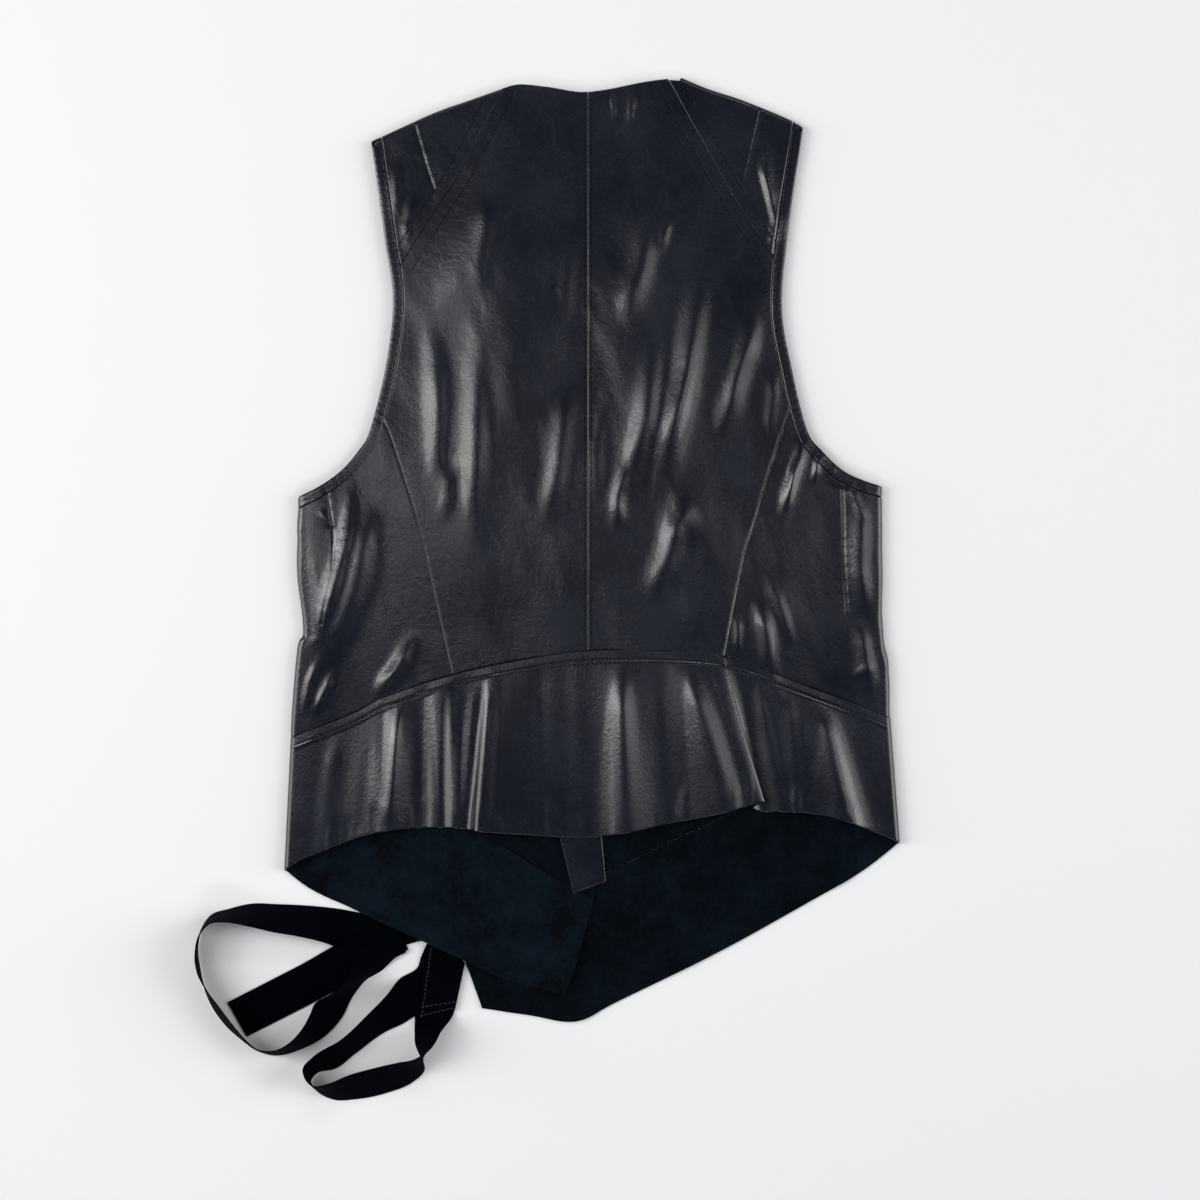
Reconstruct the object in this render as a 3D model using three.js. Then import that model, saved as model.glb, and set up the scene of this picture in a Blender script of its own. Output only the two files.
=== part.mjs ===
// A black leather vest of a wrap cut, laid flat with its back up, and its tape tie beside it.
// Millimetres. X runs across the garment from the centre back seam, Y up it from the
// waist seam, Z up from the table. Left and right are as seen from above.
import * as THREE from 'three';

// The hide's wall, and the gaps at the seams and beside the armhole bands
const LEATHER = 1.2;
const SEAM_GAP = 0.3;
const ARM_GAP = 0.45;
const FRONT_ARM_GAP = 0.9;

// The back's outer face over the table, and where it levels out above the side rolls
const BACK_HEIGHT = 6.4;
const SIDE_FADE = 45;
const ROLL_END_FROM = 130;
const ROLL_END_OVER = 60;
const FOLD_CLEAR = 12;
const FOLD_TAPER = 0.3;

// The rolls at the sides and shoulders, and how far each panel runs on beneath
const SIDE_ROLL = 4;
const SIDE_FOOT = -58;
const SIDE_TOP = 110;
const ARM_LEVEL = 112;
const UNDER_SHARES = [1, 0.6, 0.2];
const UNDER_WIDTH = 32;
const ROLL_STEPS = 8;
const SHOULDER_ROLL = BACK_HEIGHT / 2;
const SHOULDER_STEPS = 6;
const YOKE_UNDER = 25;
const YOKE_CLEAR = 0.6;
const ARM_CLEAR = 0.4;

// The armhole bands
const BAND_WIDTH = 8;
const BAND_WALL = 2;
const BAND_PROUD = 0.4;
const BAND_STEPS = 44;
const BAND_TURN = 75;
const BAND_TURN_STEPS = 5;

// The waist seam's raised allowance, and the peplum's roll at the hem
const ALLOWANCE = 9;
const ALLOWANCE_RAISE = 0.8;
const ALLOWANCE_STEP = 2;
const ALLOWANCE_FROM = 6;
const ALLOWANCE_FADE = 14;
const HEM_ROLL_TOP = 8.3;
const WIDE_STATION = 8;

// How the left front rides over the right front, and over the tie between three lines
const WRAP_LIFT = 1.5;
const WRAP_RAMP = 28;
const WRAP_LEAD = 12;
const WRAP_CORNER = -225;
const TIE_ROOM = 4.7;
const TIE_RAMP = 22;
const TIE_SPAN = { left: -164, right: -78, top: -176 };

// The heights at which a front's hidden side seam starts and ends, and its rows' crowding
const BODICE_LOW = -80;
const BODICE_HIGH = 125;
const BODICE_CROWDING = 1.5;

// The tie's tape
const TAPE_WIDTH = 30;
const TAPE_WALL = 1;

const NAPPA = new THREE.MeshStandardMaterial({ color: 0x0b0c0e, roughness: 0.38, metalness: 0 });
const SUEDE = new THREE.MeshStandardMaterial({ color: 0x05090f, roughness: 0.95, metalness: 0 });
const TWILL = new THREE.MeshStandardMaterial({ color: 0x04060b, roughness: 0.9, metalness: 0 });

// Seams and edges, each from its lower end to its upper one or from left to right
const BACK_WAIST = [
  [-226.5, -66.1], [-178.6, -47.1], [-153.5, -34.2], [-101.8, -17.5], [-52.4, -6.8], [0, 0.2],
  [63.1, 0.2], [107.2, -4.9], [158.1, -23.2], [208.2, -41.8], [229.5, -50.9],
];
const NECK = [[-63.8, 428.2], [-51.7, 430.9], [-30.4, 428.6], [0, 424.8], [43.3, 432.4], [60.8, 434.7]];
const LEFT = {
  sign: -1,
  silhouette: [[-231, -166.4], [-226.5, -66], [-221.2, 1], [-216.6, 16], [-221.2, 62], [-220.4, 117]],
  princess: [
    [-102.2, -17.9], [-116.3, 44.1], [-126.9, 89.7], [-139.1, 129.2], [-149.3, 160.4], [-156.6, 177.1],
  ],
  armhole: [
    [-220.4, 117], [-203.7, 125.4], [-187, 137.6], [-174, 152.8], [-165.7, 168], [-153.5, 217.4],
    [-148.2, 266.8], [-154.3, 312.4], [-161.9, 367.1], [-164.9, 387.6],
  ],
  yokeSeam: [[-142.6, 292.6], [-120.1, 329.1], [-95.8, 367.1], [-64.6, 427.6]],
  shoulder: [[-164.9, 387.6], [-147.4, 395.6], [-116.3, 409.6], [-90.4, 418.8], [-64.2, 428]],
  yokeNeck: [-68.2, 420.8],
  neckTurn: [-0.466, -0.885],
  frontWaist: [
    [-226.5, -66.1], [-199.1, -80.6], [-158.1, -101.8], [-112.5, -124.6], [-63.1, -149.7],
    [-32.7, -168.7], [4.5, -188.3],
  ],
  frontHem: [
    [-231, -166.4], [-209.8, -182.1], [-174.8, -198.1], [-120.1, -223.1], [-76.8, -243.6],
    [-58.5, -251.6], [-17.5, -261.1],
  ],
  frontEdge: [[-17.5, -261.1], [-8, -234.1], [4.5, -188.3]],
  wrapEdge: [
    [4.5, -188.3], [13.7, -142.1], [25.8, -98], [8, 20], [-21.3, 152.8], [-50, 290], [-75.8, 405.9],
  ],
  hemCorner: [[-218.9, -158.8], [-231, -166.4]],
};
const RIGHT = {
  sign: 1,
  silhouette: [
    [237.1, -145.5], [232.6, -90], [229.5, -51], [228.8, -14], [224.2, 16], [223.8, 62], [223.4, 125],
  ],
  princess: [[102.6, -3.8], [109.8, 34.4], [120.1, 80.9], [133, 123.1], [143.3, 156.6], [153.6, 183.9]],
  armhole: [
    [223.4, 125], [208.2, 130], [193, 137.6], [177.1, 152.8], [166.4, 168], [155, 213.6],
    [147.4, 264.4], [154.3, 335.2], [161.1, 380.8], [163.4, 398.2],
  ],
  yokeSeam: [[139.8, 300.2], [115.5, 336.7], [83.6, 392.9], [60.8, 434.7]],
  shoulder: [[163.4, 398.2], [151.2, 405.1], [117.8, 418.8], [90.4, 427.9], [70.7, 436.2]],
  yokeNeck: [61.4, 434],
  neckTurn: [-0.372, -0.928],
  frontWaist: [
    [229.5, -50.9], [205.2, -69.2], [168.7, -92.7], [130.7, -113.2], [47.1, -152.8],
    [-36.5, -193.8], [-98, -225],
  ],
  frontHem: [
    [237.1, -145.5], [208.2, -168], [171.8, -189.2], [100.3, -228.8], [23.3, -266.6],
    [-9.1, -282], [-44.8, -277.4], [-80.6, -272.1],
  ],
  frontEdge: [[-80.6, -272.1], [-93.5, -236.7], [-98, -225]],
  wrapEdge: [[-98, -225], [-103.4, -208.2], [-66.9, -98], [1.5, 130], [40, 262], [61.4, 413]],
  hemCorner: [[215.8, -136.8], [237.1, -145.5]],
};

// Soft folds of the back: where each starts and ends, how wide and how high it is
const FOLDS = [
  { from: [-63, 381], to: [-124, 236], width: 22, height: 3 },
  { from: [-119, 267], to: [-114, 100], width: 14, height: 3.2 },
  { from: [-77, 206], to: [-86, 62], width: 16, height: 3 },
  { from: [-24, 198], to: [-30, 92], width: 13, height: 2.5 },
  { from: [47, 320], to: [18, 233], width: 12, height: 2.5 },
  { from: [41, 244], to: [26, 130], width: 14, height: 3 },
  { from: [77, 244], to: [56, 168], width: 11, height: 2.8 },
  { from: [61, 122], to: [85, 81], width: 12, height: 2.5 },
  { from: [114, 259], to: [97, 191], width: 11, height: 2.8 },
  { from: [-179, 122], to: [-212, 5], width: 10, height: 2.4 },
  { from: [-134, 12], to: [-158, -34], width: 8, height: 2.2 },
  { from: [128, 39], to: [142, -24], width: 9, height: 2.4 },
];

// The peplum's flare: each station's place on the waist seam, and its place and middle
// height at the hem. The pleat laps over itself where x runs back.
const FLARE = [
  { waist: -209.8, x: -218.9, y: -158.8, z: 8.3 },
  { waist: -184.7, x: -196.1, y: -149.7, z: 7.5 },
  { waist: -161.9, x: -176.3, y: -142.1, z: 9 },
  { waist: -140.6, x: -149, y: -136, z: 11.5 },
  { waist: -124.6, x: -127.7, y: -134.5, z: 7 },
  { waist: -108.7, x: -109.4, y: -134.1, z: 11 },
  { waist: -94, x: -96, y: -135.3, z: 6.4 },
  { waist: -78, x: -87, y: -136.4, z: 10.6 },
  { waist: -74.5, x: -84.4, y: -136.8, z: 12 },
  { waist: -63.1, x: -70.7, y: -137.9, z: 11.2 },
  { waist: -44.1, x: -44.1, y: -139.8, z: 9.5 },
  { waist: -21.3, x: -19.8, y: -141.4, z: 8.5 },
  { waist: 1.5, x: 6.1, y: -141.1, z: 8.5 },
  { waist: 25.8, x: 35, y: -136.8, z: 11.5 },
  { waist: 50.9, x: 60.8, y: -131.1, z: 8.5 },
  { waist: 72.2, x: 97.3, y: -123.9, z: 12.5 },
  { waist: 86.6, x: 119.3, y: -118.2, z: 12 },
  { waist: 97, x: 131.8, y: -114.6, z: 12.2 },
  { waist: 99.2, x: 133.4, y: -114.2, z: 11.7 },
  { waist: 100.6, x: 133.8, y: -114.4, z: 10.8 },
  { waist: 102, x: 133, y: -115, z: 9.9 },
  { waist: 104.2, x: 126.4, y: -118, z: 8.2 },
  { waist: 106, x: 125.2, y: -119.4, z: 7.2 },
  { waist: 107.8, x: 126.6, y: -120.4, z: 6.1 },
  { waist: 121.6, x: 149.7, y: -122.4, z: 6.4 },
  { waist: 142.1, x: 172.5, y: -123.9, z: 8 },
  { waist: 163.4, x: 196.1, y: -129.2, z: 11 },
  { waist: 187.7, x: 215.8, y: -136.8, z: 9 },
  { waist: 208, x: 226, y: -140.6, z: 8.4 },
];

// The facing's end, a flat strip on the left front's inside
const FACING = {
  low: [[-11.4, -184.7], [13.7, -175.6]],
  high: [[-31.5, -100], [6.5, -100]],
  base: 3,
};

// The tab that holds the tape's start to the right front
const TAB = {
  low: [[-129.2, -280.4], [-101.1, -272.8]],
  high: [[-121.6, -222.7], [-93.5, -237.1]],
  base: 3.1,
};

// The tie, a single tape from under the tab to its cut end: its two edges in plan, the
// height of the middle of the lower edge, and which edge stands up from the table
const TIE = [
  { a: [-130, -262.2], b: [-103.4, -256.1], base: 2.1, raised: '' },
  { a: [-131.1, -282.7], b: [-103.4, -276.6], base: 2.1, raised: '' },
  { a: [-131.9, -291.1], b: [-111.7, -288], base: 0.8, raised: 'b' },
  { a: [-131.5, -299.4], b: [-114.8, -294.1], base: 0.5, raised: 'b' },
  { a: [-127.7, -308.6], b: [-120.1, -300.2], base: 0.5, raised: 'b' },
  { a: [-124.6, -317.7], b: [-129.2, -306.3], base: 0.5, raised: 'b' },
  { a: [-133.8, -328.3], b: [-142.9, -310.1], base: 0.5, raised: 'b' },
  { a: [-154.3, -336.7], b: [-159.6, -314.3], base: 0.5, raised: 'b' },
  { a: [-177.1, -341.2], b: [-180.9, -320], base: 0.5, raised: 'b' },
  { a: [-194.6, -341.2], b: [-196.1, -325.7], base: 0.5, raised: 'b' },
  { a: [-206, -335.2], b: [-206, -326.8], base: 0.5, raised: 'b' },
  { a: [-211.3, -327.6], b: [-212, -321.5], base: 0.5, raised: 'b' },
  { a: [-206.7, -321.5], b: [-214.3, -314.6], base: 0.5, raised: 'b' },
  { a: [-193.8, -318.4], b: [-207.5, -305.9], base: 0.5, raised: 'b' },
  { a: [-177.1, -306.3], b: [-186.2, -292.6], base: 0.5, raised: 'b' },
  { a: [-155, -290.3], b: [-165.7, -273.6], base: 0.5, raised: 'b' },
  { a: [-140.6, -283.5], b: [-152, -259.9], base: 0.5, raised: 'b' },
  { a: [-129.2, -275.9], b: [-143.6, -250], base: 0.5, raised: '' },
  { a: [-112.5, -265.2], b: [-130, -241.7], base: 0.5, raised: '' },
  { a: [-103.4, -250.8], b: [-126.9, -232.6], base: 1.3, raised: '' },
  { a: [-96.5, -237.1], b: [-122.4, -222.7], base: 2.1, raised: '' },
  { a: [-89.7, -225], b: [-112.5, -205.2], base: 2.1, raised: '' },
  { a: [-84.4, -215.8], b: [-101.8, -187.7], base: 2.1, raised: '' },
  { a: [-82.8, -215.1], b: [-100.3, -187], base: 2.75, raised: '' },
  { a: [-84.4, -215.8], b: [-101.8, -187.7], base: 3.4, raised: '' },
  { a: [-101.1, -216.6], b: [-110.2, -187.7], base: 3.4, raised: '' },
  { a: [-118.6, -218.1], b: [-121.6, -188.5], base: 3.4, raised: '' },
  { a: [-126.2, -219.6], b: [-128.4, -190.8], base: 1.9, raised: '' },
  { a: [-133.8, -221.9], b: [-135.3, -193], base: 0.5, raised: '' },
  { a: [-154.3, -227.2], b: [-152.8, -197.6], base: 0.5, raised: '' },
  { a: [-173.3, -229.1], b: [-172.5, -199.5], base: 0.5, raised: '' },
  { a: [-188.5, -226.5], b: [-187.7, -196.8], base: 0.5, raised: '' },
  { a: [-200.6, -219.6], b: [-199.1, -195.3], base: 0.5, raised: 'a' },
  { a: [-218.9, -214.7], b: [-217.4, -193.8], base: 0.5, raised: 'a' },
  { a: [-237.1, -211.3], b: [-236.4, -193], base: 0.5, raised: 'a' },
  { a: [-256.9, -206.3], b: [-256.9, -192.7], base: 0.5, raised: 'a' },
  { a: [-272.1, -203.3], b: [-272.8, -196.5], base: 0.5, raised: 'a' },
  { a: [-284.2, -204.4], b: [-286.5, -201], base: 0.5, raised: 'a' },
  { a: [-291.8, -212.8], b: [-294.1, -211.3], base: 0.5, raised: 'a' },
  { a: [-294.9, -225.7], b: [-297.2, -225], base: 0.5, raised: 'a' },
  { a: [-293.4, -240.9], b: [-295.6, -241.7], base: 0.5, raised: 'a' },
  { a: [-286.5, -254.6], b: [-291.8, -257.6], base: 0.5, raised: 'a' },
  { a: [-276.6, -268.3], b: [-285, -272.8], base: 0.5, raised: 'a' },
  { a: [-266.8, -281.2], b: [-275.1, -285.8], base: 0.5, raised: 'a' },
  { a: [-256.9, -292.6], b: [-264.5, -295.3], base: 0.5, raised: 'a' },
  { a: [-247.8, -299.4], b: [-252.3, -304], base: 0.5, raised: 'a' },
  { a: [-236.4, -300.2], b: [-237.1, -307.8], base: 0.5, raised: 'a' },
  { a: [-225, -294.9], b: [-218.9, -303.2], base: 0.5, raised: 'a' },
  { a: [-215.1, -284.2], b: [-199.9, -292.6], base: 0.5, raised: 'a' },
  { a: [-209.8, -274.4], b: [-187, -278.2], base: 0.5, raised: 'a' },
  { a: [-206, -266], b: [-180.9, -266], base: 0.5, raised: 'a' },
  { a: [-193.8, -258.4], b: [-174.8, -256.9], base: 0.5, raised: 'a' },
  { a: [-182.4, -248.5], b: [-168.7, -250], base: 0.9, raised: 'a' },
  { a: [-177.1, -236.4], b: [-157.3, -243.2], base: 2.6, raised: 'a' },
  { a: [-168.7, -221.2], b: [-146.7, -233.3], base: 3.2, raised: 'a' },
  { a: [-158.8, -211.3], b: [-140.6, -227.2], base: 3.2, raised: '' },
  { a: [-150.5, -201.4], b: [-139.1, -227.2], base: 3.2, raised: '' },
  { a: [-148.6, -200.6], b: [-137.2, -226.5], base: 2.5, raised: '' },
  { a: [-150.5, -201.4], b: [-139.1, -227.2], base: 1.8, raised: '' },
  { a: [-164.2, -210.5], b: [-152, -235.6], base: 1.8, raised: '' },
  { a: [-190, -222.7], b: [-177.1, -249.3], base: 1.8, raised: '' },
  { a: [-215.1, -237.1], b: [-202.2, -263.7], base: 0.5, raised: '' },
  { a: [-245.5, -253.1], b: [-231.8, -278.9], base: 0.5, raised: '' },
  { a: [-274.4, -267.9], b: [-259.9, -293.4], base: 0.5, raised: '' },
];

/** Evenly spaced numbers from one to another. */
const spread = (from, to, steps) => Array.from(
  { length: steps + 1 },
  (_, i) => from + ((to - from) * i) / steps,
);

/** A share from 0 to 1 that starts and ends softly. */
const soft = (share) => THREE.MathUtils.smoothstep(share, 0, 1);

/** The point a share of the way between two points. */
const between = (a, b, share) => a.map((value, k) => value + (b[k] - value) * share);

/** A smooth plan line through a few points, as short chords. */
function line(points, chords = 120) {
  const curve = new THREE.SplineCurve(points.map(([x, y]) => new THREE.Vector2(x, y)));
  return curve.getSpacedPoints(chords).map(({ x, y }) => [x, y]);
}

/** How far along a plan line, in chords, one coordinate has a value; its end chords run on. */
function place(points, axis, value) {
  const crossed = (point, i) => i > 0 && (points[i - 1][axis] - value) * (point[axis] - value) <= 0;
  let step = points.findIndex(crossed);
  if (step < 0) {
    const nearStart = Math.abs(points[0][axis] - value) < Math.abs(points.at(-1)[axis] - value);
    step = nearStart ? 1 : points.length - 1;
  }
  const [from, to] = [points[step - 1][axis], points[step][axis]];
  return step - 1 + (value - from) / (to - from);
}

/** The point of a plan line at a place. */
function pointAt(points, where) {
  const step = THREE.MathUtils.clamp(Math.floor(where), 0, points.length - 2);
  return between(points[step], points[step + 1], where - step);
}

/** The point of a plan line where one coordinate has a value. */
const at = (points, axis, value) => pointAt(points, place(points, axis, value));

/** A plan line moved sideways, to its left for a positive distance. */
function beside(points, distance) {
  return points.map(([x, y], i) => {
    const before = points[Math.max(i - 1, 0)];
    const after = points[Math.min(i + 1, points.length - 1)];
    const [dx, dy] = [after[0] - before[0], after[1] - before[1]];
    const length = Math.hypot(dx, dy);
    return [x - (distance * dy) / length, y + (distance * dx) / length];
  });
}

/** Rows of plan points that fill the space between four edges. */
function patch(bottom, top, left, right) {
  const rows = left.length - 1;
  const columns = bottom.length - 1;
  return left.map((start, r) => bottom.map((foot, c) => {
    const [u, v] = [c / columns, r / rows];
    return [0, 1].map((k) => (1 - v) * foot[k] + v * top[c][k] + (1 - u) * start[k] + u * right[r][k]
      - (1 - u) * (1 - v) * bottom[0][k] - u * (1 - v) * bottom[columns][k]
      - (1 - u) * v * top[0][k] - u * v * top[columns][k]);
  }));
}

/** A closed body between two grids of points, its last row joined to its first if it is a ring. */
function body(name, material, outer, inner, ring = false) {
  const rows = outer.length;
  const columns = outer[0].length;
  const index = [];
  const corner = (side, r, c) => side * rows * columns + (r % rows) * columns + c;
  const quad = (a, b, c, d) => index.push(a, b, c, a, c, d);
  for (let r = 0; r < (ring ? rows : rows - 1); r += 1) {
    for (let c = 0; c < columns - 1; c += 1) {
      quad(corner(0, r, c), corner(0, r, c + 1), corner(0, r + 1, c + 1), corner(0, r + 1, c));
      quad(corner(1, r, c), corner(1, r + 1, c), corner(1, r + 1, c + 1), corner(1, r, c + 1));
    }
    const last = columns - 1;
    quad(corner(0, r, 0), corner(0, r + 1, 0), corner(1, r + 1, 0), corner(1, r, 0));
    quad(corner(0, r, last), corner(1, r, last), corner(1, r + 1, last), corner(0, r + 1, last));
  }
  if (!ring) {
    for (let c = 0; c < columns - 1; c += 1) {
      const last = rows - 1;
      quad(corner(0, 0, c), corner(1, 0, c), corner(1, 0, c + 1), corner(0, 0, c + 1));
      quad(corner(0, last, c), corner(0, last, c + 1), corner(1, last, c + 1), corner(1, last, c));
    }
  }
  const geometry = new THREE.BufferGeometry();
  const points = [...outer.flat(), ...inner.flat()];
  geometry.setAttribute('position', new THREE.Float32BufferAttribute(points.flat(), 3));
  geometry.setIndex(facesOut(points, index) ? index : index.reverse());
  geometry.computeVertexNormals();
  const mesh = new THREE.Mesh(geometry, material);
  mesh.name = name;
  return mesh;
}

/** Whether the faces of a closed body look out of it. */
function facesOut(points, index) {
  let volume = 0;
  for (let i = 0; i < index.length; i += 3) {
    const [a, b, c] = [points[index[i]], points[index[i + 1]], points[index[i + 2]]];
    volume += a[0] * (b[1] * c[2] - b[2] * c[1]) + a[1] * (b[2] * c[0] - b[0] * c[2])
      + a[2] * (b[0] * c[1] - b[1] * c[0]);
  }
  return volume > 0;
}

/** A body that lies under a plan grid, its outer face at a height that varies. */
function panel(name, material, grid, height, wall = LEATHER) {
  const outer = grid.map((row) => row.map(([x, y]) => [x, y, height(x, y)]));
  return body(name, material, outer, outer.map((row) => row.map(([x, y, z]) => [x, y, z - wall])));
}

const backWaist = line(BACK_WAIST);
for (const side of [LEFT, RIGHT]) {
  side.edge = line(side.silhouette);
  side.arm = line(side.armhole);
  side.armIn = beside(side.arm, side.sign * BAND_WIDTH);
  side.panelArm = beside(side.arm, side.sign * (BAND_WIDTH + ARM_GAP));
  side.frontArm = beside(side.arm, side.sign * (BAND_WIDTH + FRONT_ARM_GAP));
  side.princessLine = line(side.princess);
  side.yokeLine = line(side.yokeSeam);
  side.waist = line(side.frontWaist);
  side.hem = line(side.frontHem);
  side.wrap = line(side.wrapEdge);
  side.under = line(side.frontEdge);
}

/** How far in from the side fold a point of the back lies. */
function depthFromSide(x, y) {
  const side = x < 0 ? LEFT : RIGHT;
  const fold = at(side.edge, 1, Math.min(y, SIDE_TOP))[0];
  return side.sign * (fold - x);
}

/** The back's outer face: level, higher near the side folds, with its soft folds on it. */
function backHeight(x, y) {
  const depth = depthFromSide(x, y);
  const rise = (2 * SIDE_ROLL - BACK_HEIGHT) * (1 - soft((depth - SIDE_ROLL) / SIDE_FADE));
  const held = soft((depth - SIDE_ROLL) / FOLD_CLEAR);
  let height = BACK_HEIGHT + rise * (1 - soft((y - ROLL_END_FROM) / ROLL_END_OVER));
  for (const fold of FOLDS) {
    const [dx, dy] = [fold.to[0] - fold.from[0], fold.to[1] - fold.from[1]];
    const length = Math.hypot(dx, dy);
    const along = ((x - fold.from[0]) * dx + (y - fold.from[1]) * dy) / (length * length);
    const away = ((x - fold.from[0]) * dy - (y - fold.from[1]) * dx) / length;
    const taper = soft(along / FOLD_TAPER) * soft((1 - along) / FOLD_TAPER);
    height += held * fold.height * taper * Math.exp(-((2 * away / fold.width) ** 2));
  }
  return height;
}

/** The rows of a back panel's outer boundary: princess seam, armhole band, yoke seam. */
function backBoundary(side) {
  const toCentre = (points) => beside(points, (side.sign * SEAM_GAP) / 2);
  const [princess, yoke] = [toCentre(side.princessLine), toCentre(side.yokeLine)];
  const [low, high] = [side.princess.at(-1)[1], side.yokeSeam[0][1]];
  const foot = at(backWaist, 0, side.princess[0][0])[1] + SEAM_GAP / 2;
  const start = at(princess, 1, foot);
  return [
    ...spread(foot, low, 11).slice(0, -1).map((y) => (y === foot ? start : at(princess, 1, y))),
    ...spread(low, high, 8).slice(0, -1).map((y) => at(side.panelArm, 1, y)),
    ...spread(high, side.yokeSeam.at(-1)[1], 9).map((y) => at(yoke, 1, y)),
  ];
}

function backPanel(side, name) {
  const outside = backBoundary(side);
  const centre = (side.sign * SEAM_GAP) / 2;
  const foot = at(backWaist, 0, centre)[1] + SEAM_GAP / 2;
  const crown = at(line(NECK), 0, centre)[1];
  const [low, high] = [outside[0][1], outside.at(-1)[1]];
  const inside = outside.map(([, y]) => [centre, foot + ((y - low) / (high - low)) * (crown - foot)]);
  const columns = 13;
  const bottom = spread(centre, outside[0][0], columns)
    .map((x) => [x, at(backWaist, 0, x)[1] + SEAM_GAP / 2]);
  const neck = line(NECK);
  const top = spread(centre, outside.at(-1)[0], columns).map((x) => [x, at(neck, 0, x)[1]]);
  return panel(name, NAPPA, patch(bottom, top, inside, outside), backHeight);
}

/** A point on a fold from the upper layer (turn 90 degrees) round to the lower one (-90). */
function rolled(plan, turn, radius, degrees, wall) {
  const angle = THREE.MathUtils.degToRad(degrees);
  const reach = radius - (radius - wall) * Math.cos(angle);
  return [plan[0] + turn[0] * reach, plan[1] + turn[1] * reach, radius + (radius - wall) * Math.sin(angle)];
}

/** Where the hidden side seam lies at a height: a straight line from the waist to the armhole. */
function seamX(side, y, gap) {
  const [low, high] = [at(side.edge, 1, SIDE_FOOT)[0], at(side.edge, 1, SIDE_TOP)[0]];
  const share = (Math.max(y, SIDE_FOOT) - SIDE_FOOT) / (SIDE_TOP - SIDE_FOOT);
  return low + (high - low) * share - side.sign * (UNDER_WIDTH + gap);
}

/** The waist seam on the upper layer or the lower one, near a side. */
function sideWaist(side, x, upper) {
  return at(upper ? backWaist : side.waist, 0, x)[1];
}

function sidePanel(side, name) {
  const rows = 13;
  const columns = 12;
  const princess = beside(side.princessLine, (-side.sign * SEAM_GAP) / 2);
  const fold = (y) => at(side.edge, 1, Math.max(y, SIDE_FOOT))[0];
  const inward = -side.sign;
  const seamFoot = at(backWaist, 0, side.princess[0][0])[1] + SEAM_GAP / 2;
  const right = spread(seamFoot, side.princess.at(-1)[1], rows).map((y) => at(princess, 1, y));
  right[rows] = at(side.panelArm, 1, side.princess.at(-1)[1]);
  const foldRows = (reach, upper) => {
    const foot = fold(SIDE_FOOT) + inward * reach;
    const low = sideWaist(side, foot, upper) + SEAM_GAP / 2;
    const high = at(side.panelArm, 0, fold(ARM_LEVEL) + inward * reach)[1];
    return spread(low, high, rows);
  };
  const left = foldRows(SIDE_ROLL, true).map((y) => [fold(y) + inward * SIDE_ROLL, y]);
  const bottom = spread(left[0][0], right[0][0], columns)
    .map((x) => [x, at(backWaist, 0, x)[1] + SEAM_GAP / 2]);
  const armStart = place(side.panelArm, 0, left[rows][0]);
  const armEnd = place(side.panelArm, 1, right[rows][1]);
  const top = spread(armStart, armEnd, columns).map((where) => pointAt(side.panelArm, where));
  const upper = patch(bottom, top, left, right);
  const turns = spread(-90, 90, ROLL_STEPS);
  const face = (inset) => upper.map((row, r) => [
    ...UNDER_SHARES.map((share) => {
      const y = foldRows(SIDE_ROLL + (UNDER_WIDTH - SIDE_ROLL) * share, false)[r];
      const turn = fold(y) + inward * SIDE_ROLL;
      return [turn + (seamX(side, y, 0) - turn) * share, y, inset];
    }),
    ...turns.map((turn) => {
      const reach = SIDE_ROLL * (1 - Math.cos(THREE.MathUtils.degToRad(turn)));
      const y = foldRows(reach, turn >= 0)[r];
      return rolled([fold(y), y], [inward, 0], SIDE_ROLL, turn, inset);
    }),
    ...row.slice(1).map(([x, y]) => [x, y, backHeight(x, y) - inset]),
  ]);
  return body(name, NAPPA, face(0), face(LEATHER));
}

/** The yoke's front seam, which lies beneath, from the armhole to the neck. */
function frontYokeSeam(side) {
  const shoulder = line(side.shoulder);
  const end = shoulder.at(-1);
  const arm = at(side.panelArm, 1, side.armhole.at(-1)[1] + BAND_WIDTH / 2 - YOKE_UNDER);
  return [arm, end.map((value, k) => value + side.neckTurn[k] * YOKE_UNDER)];
}

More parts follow.
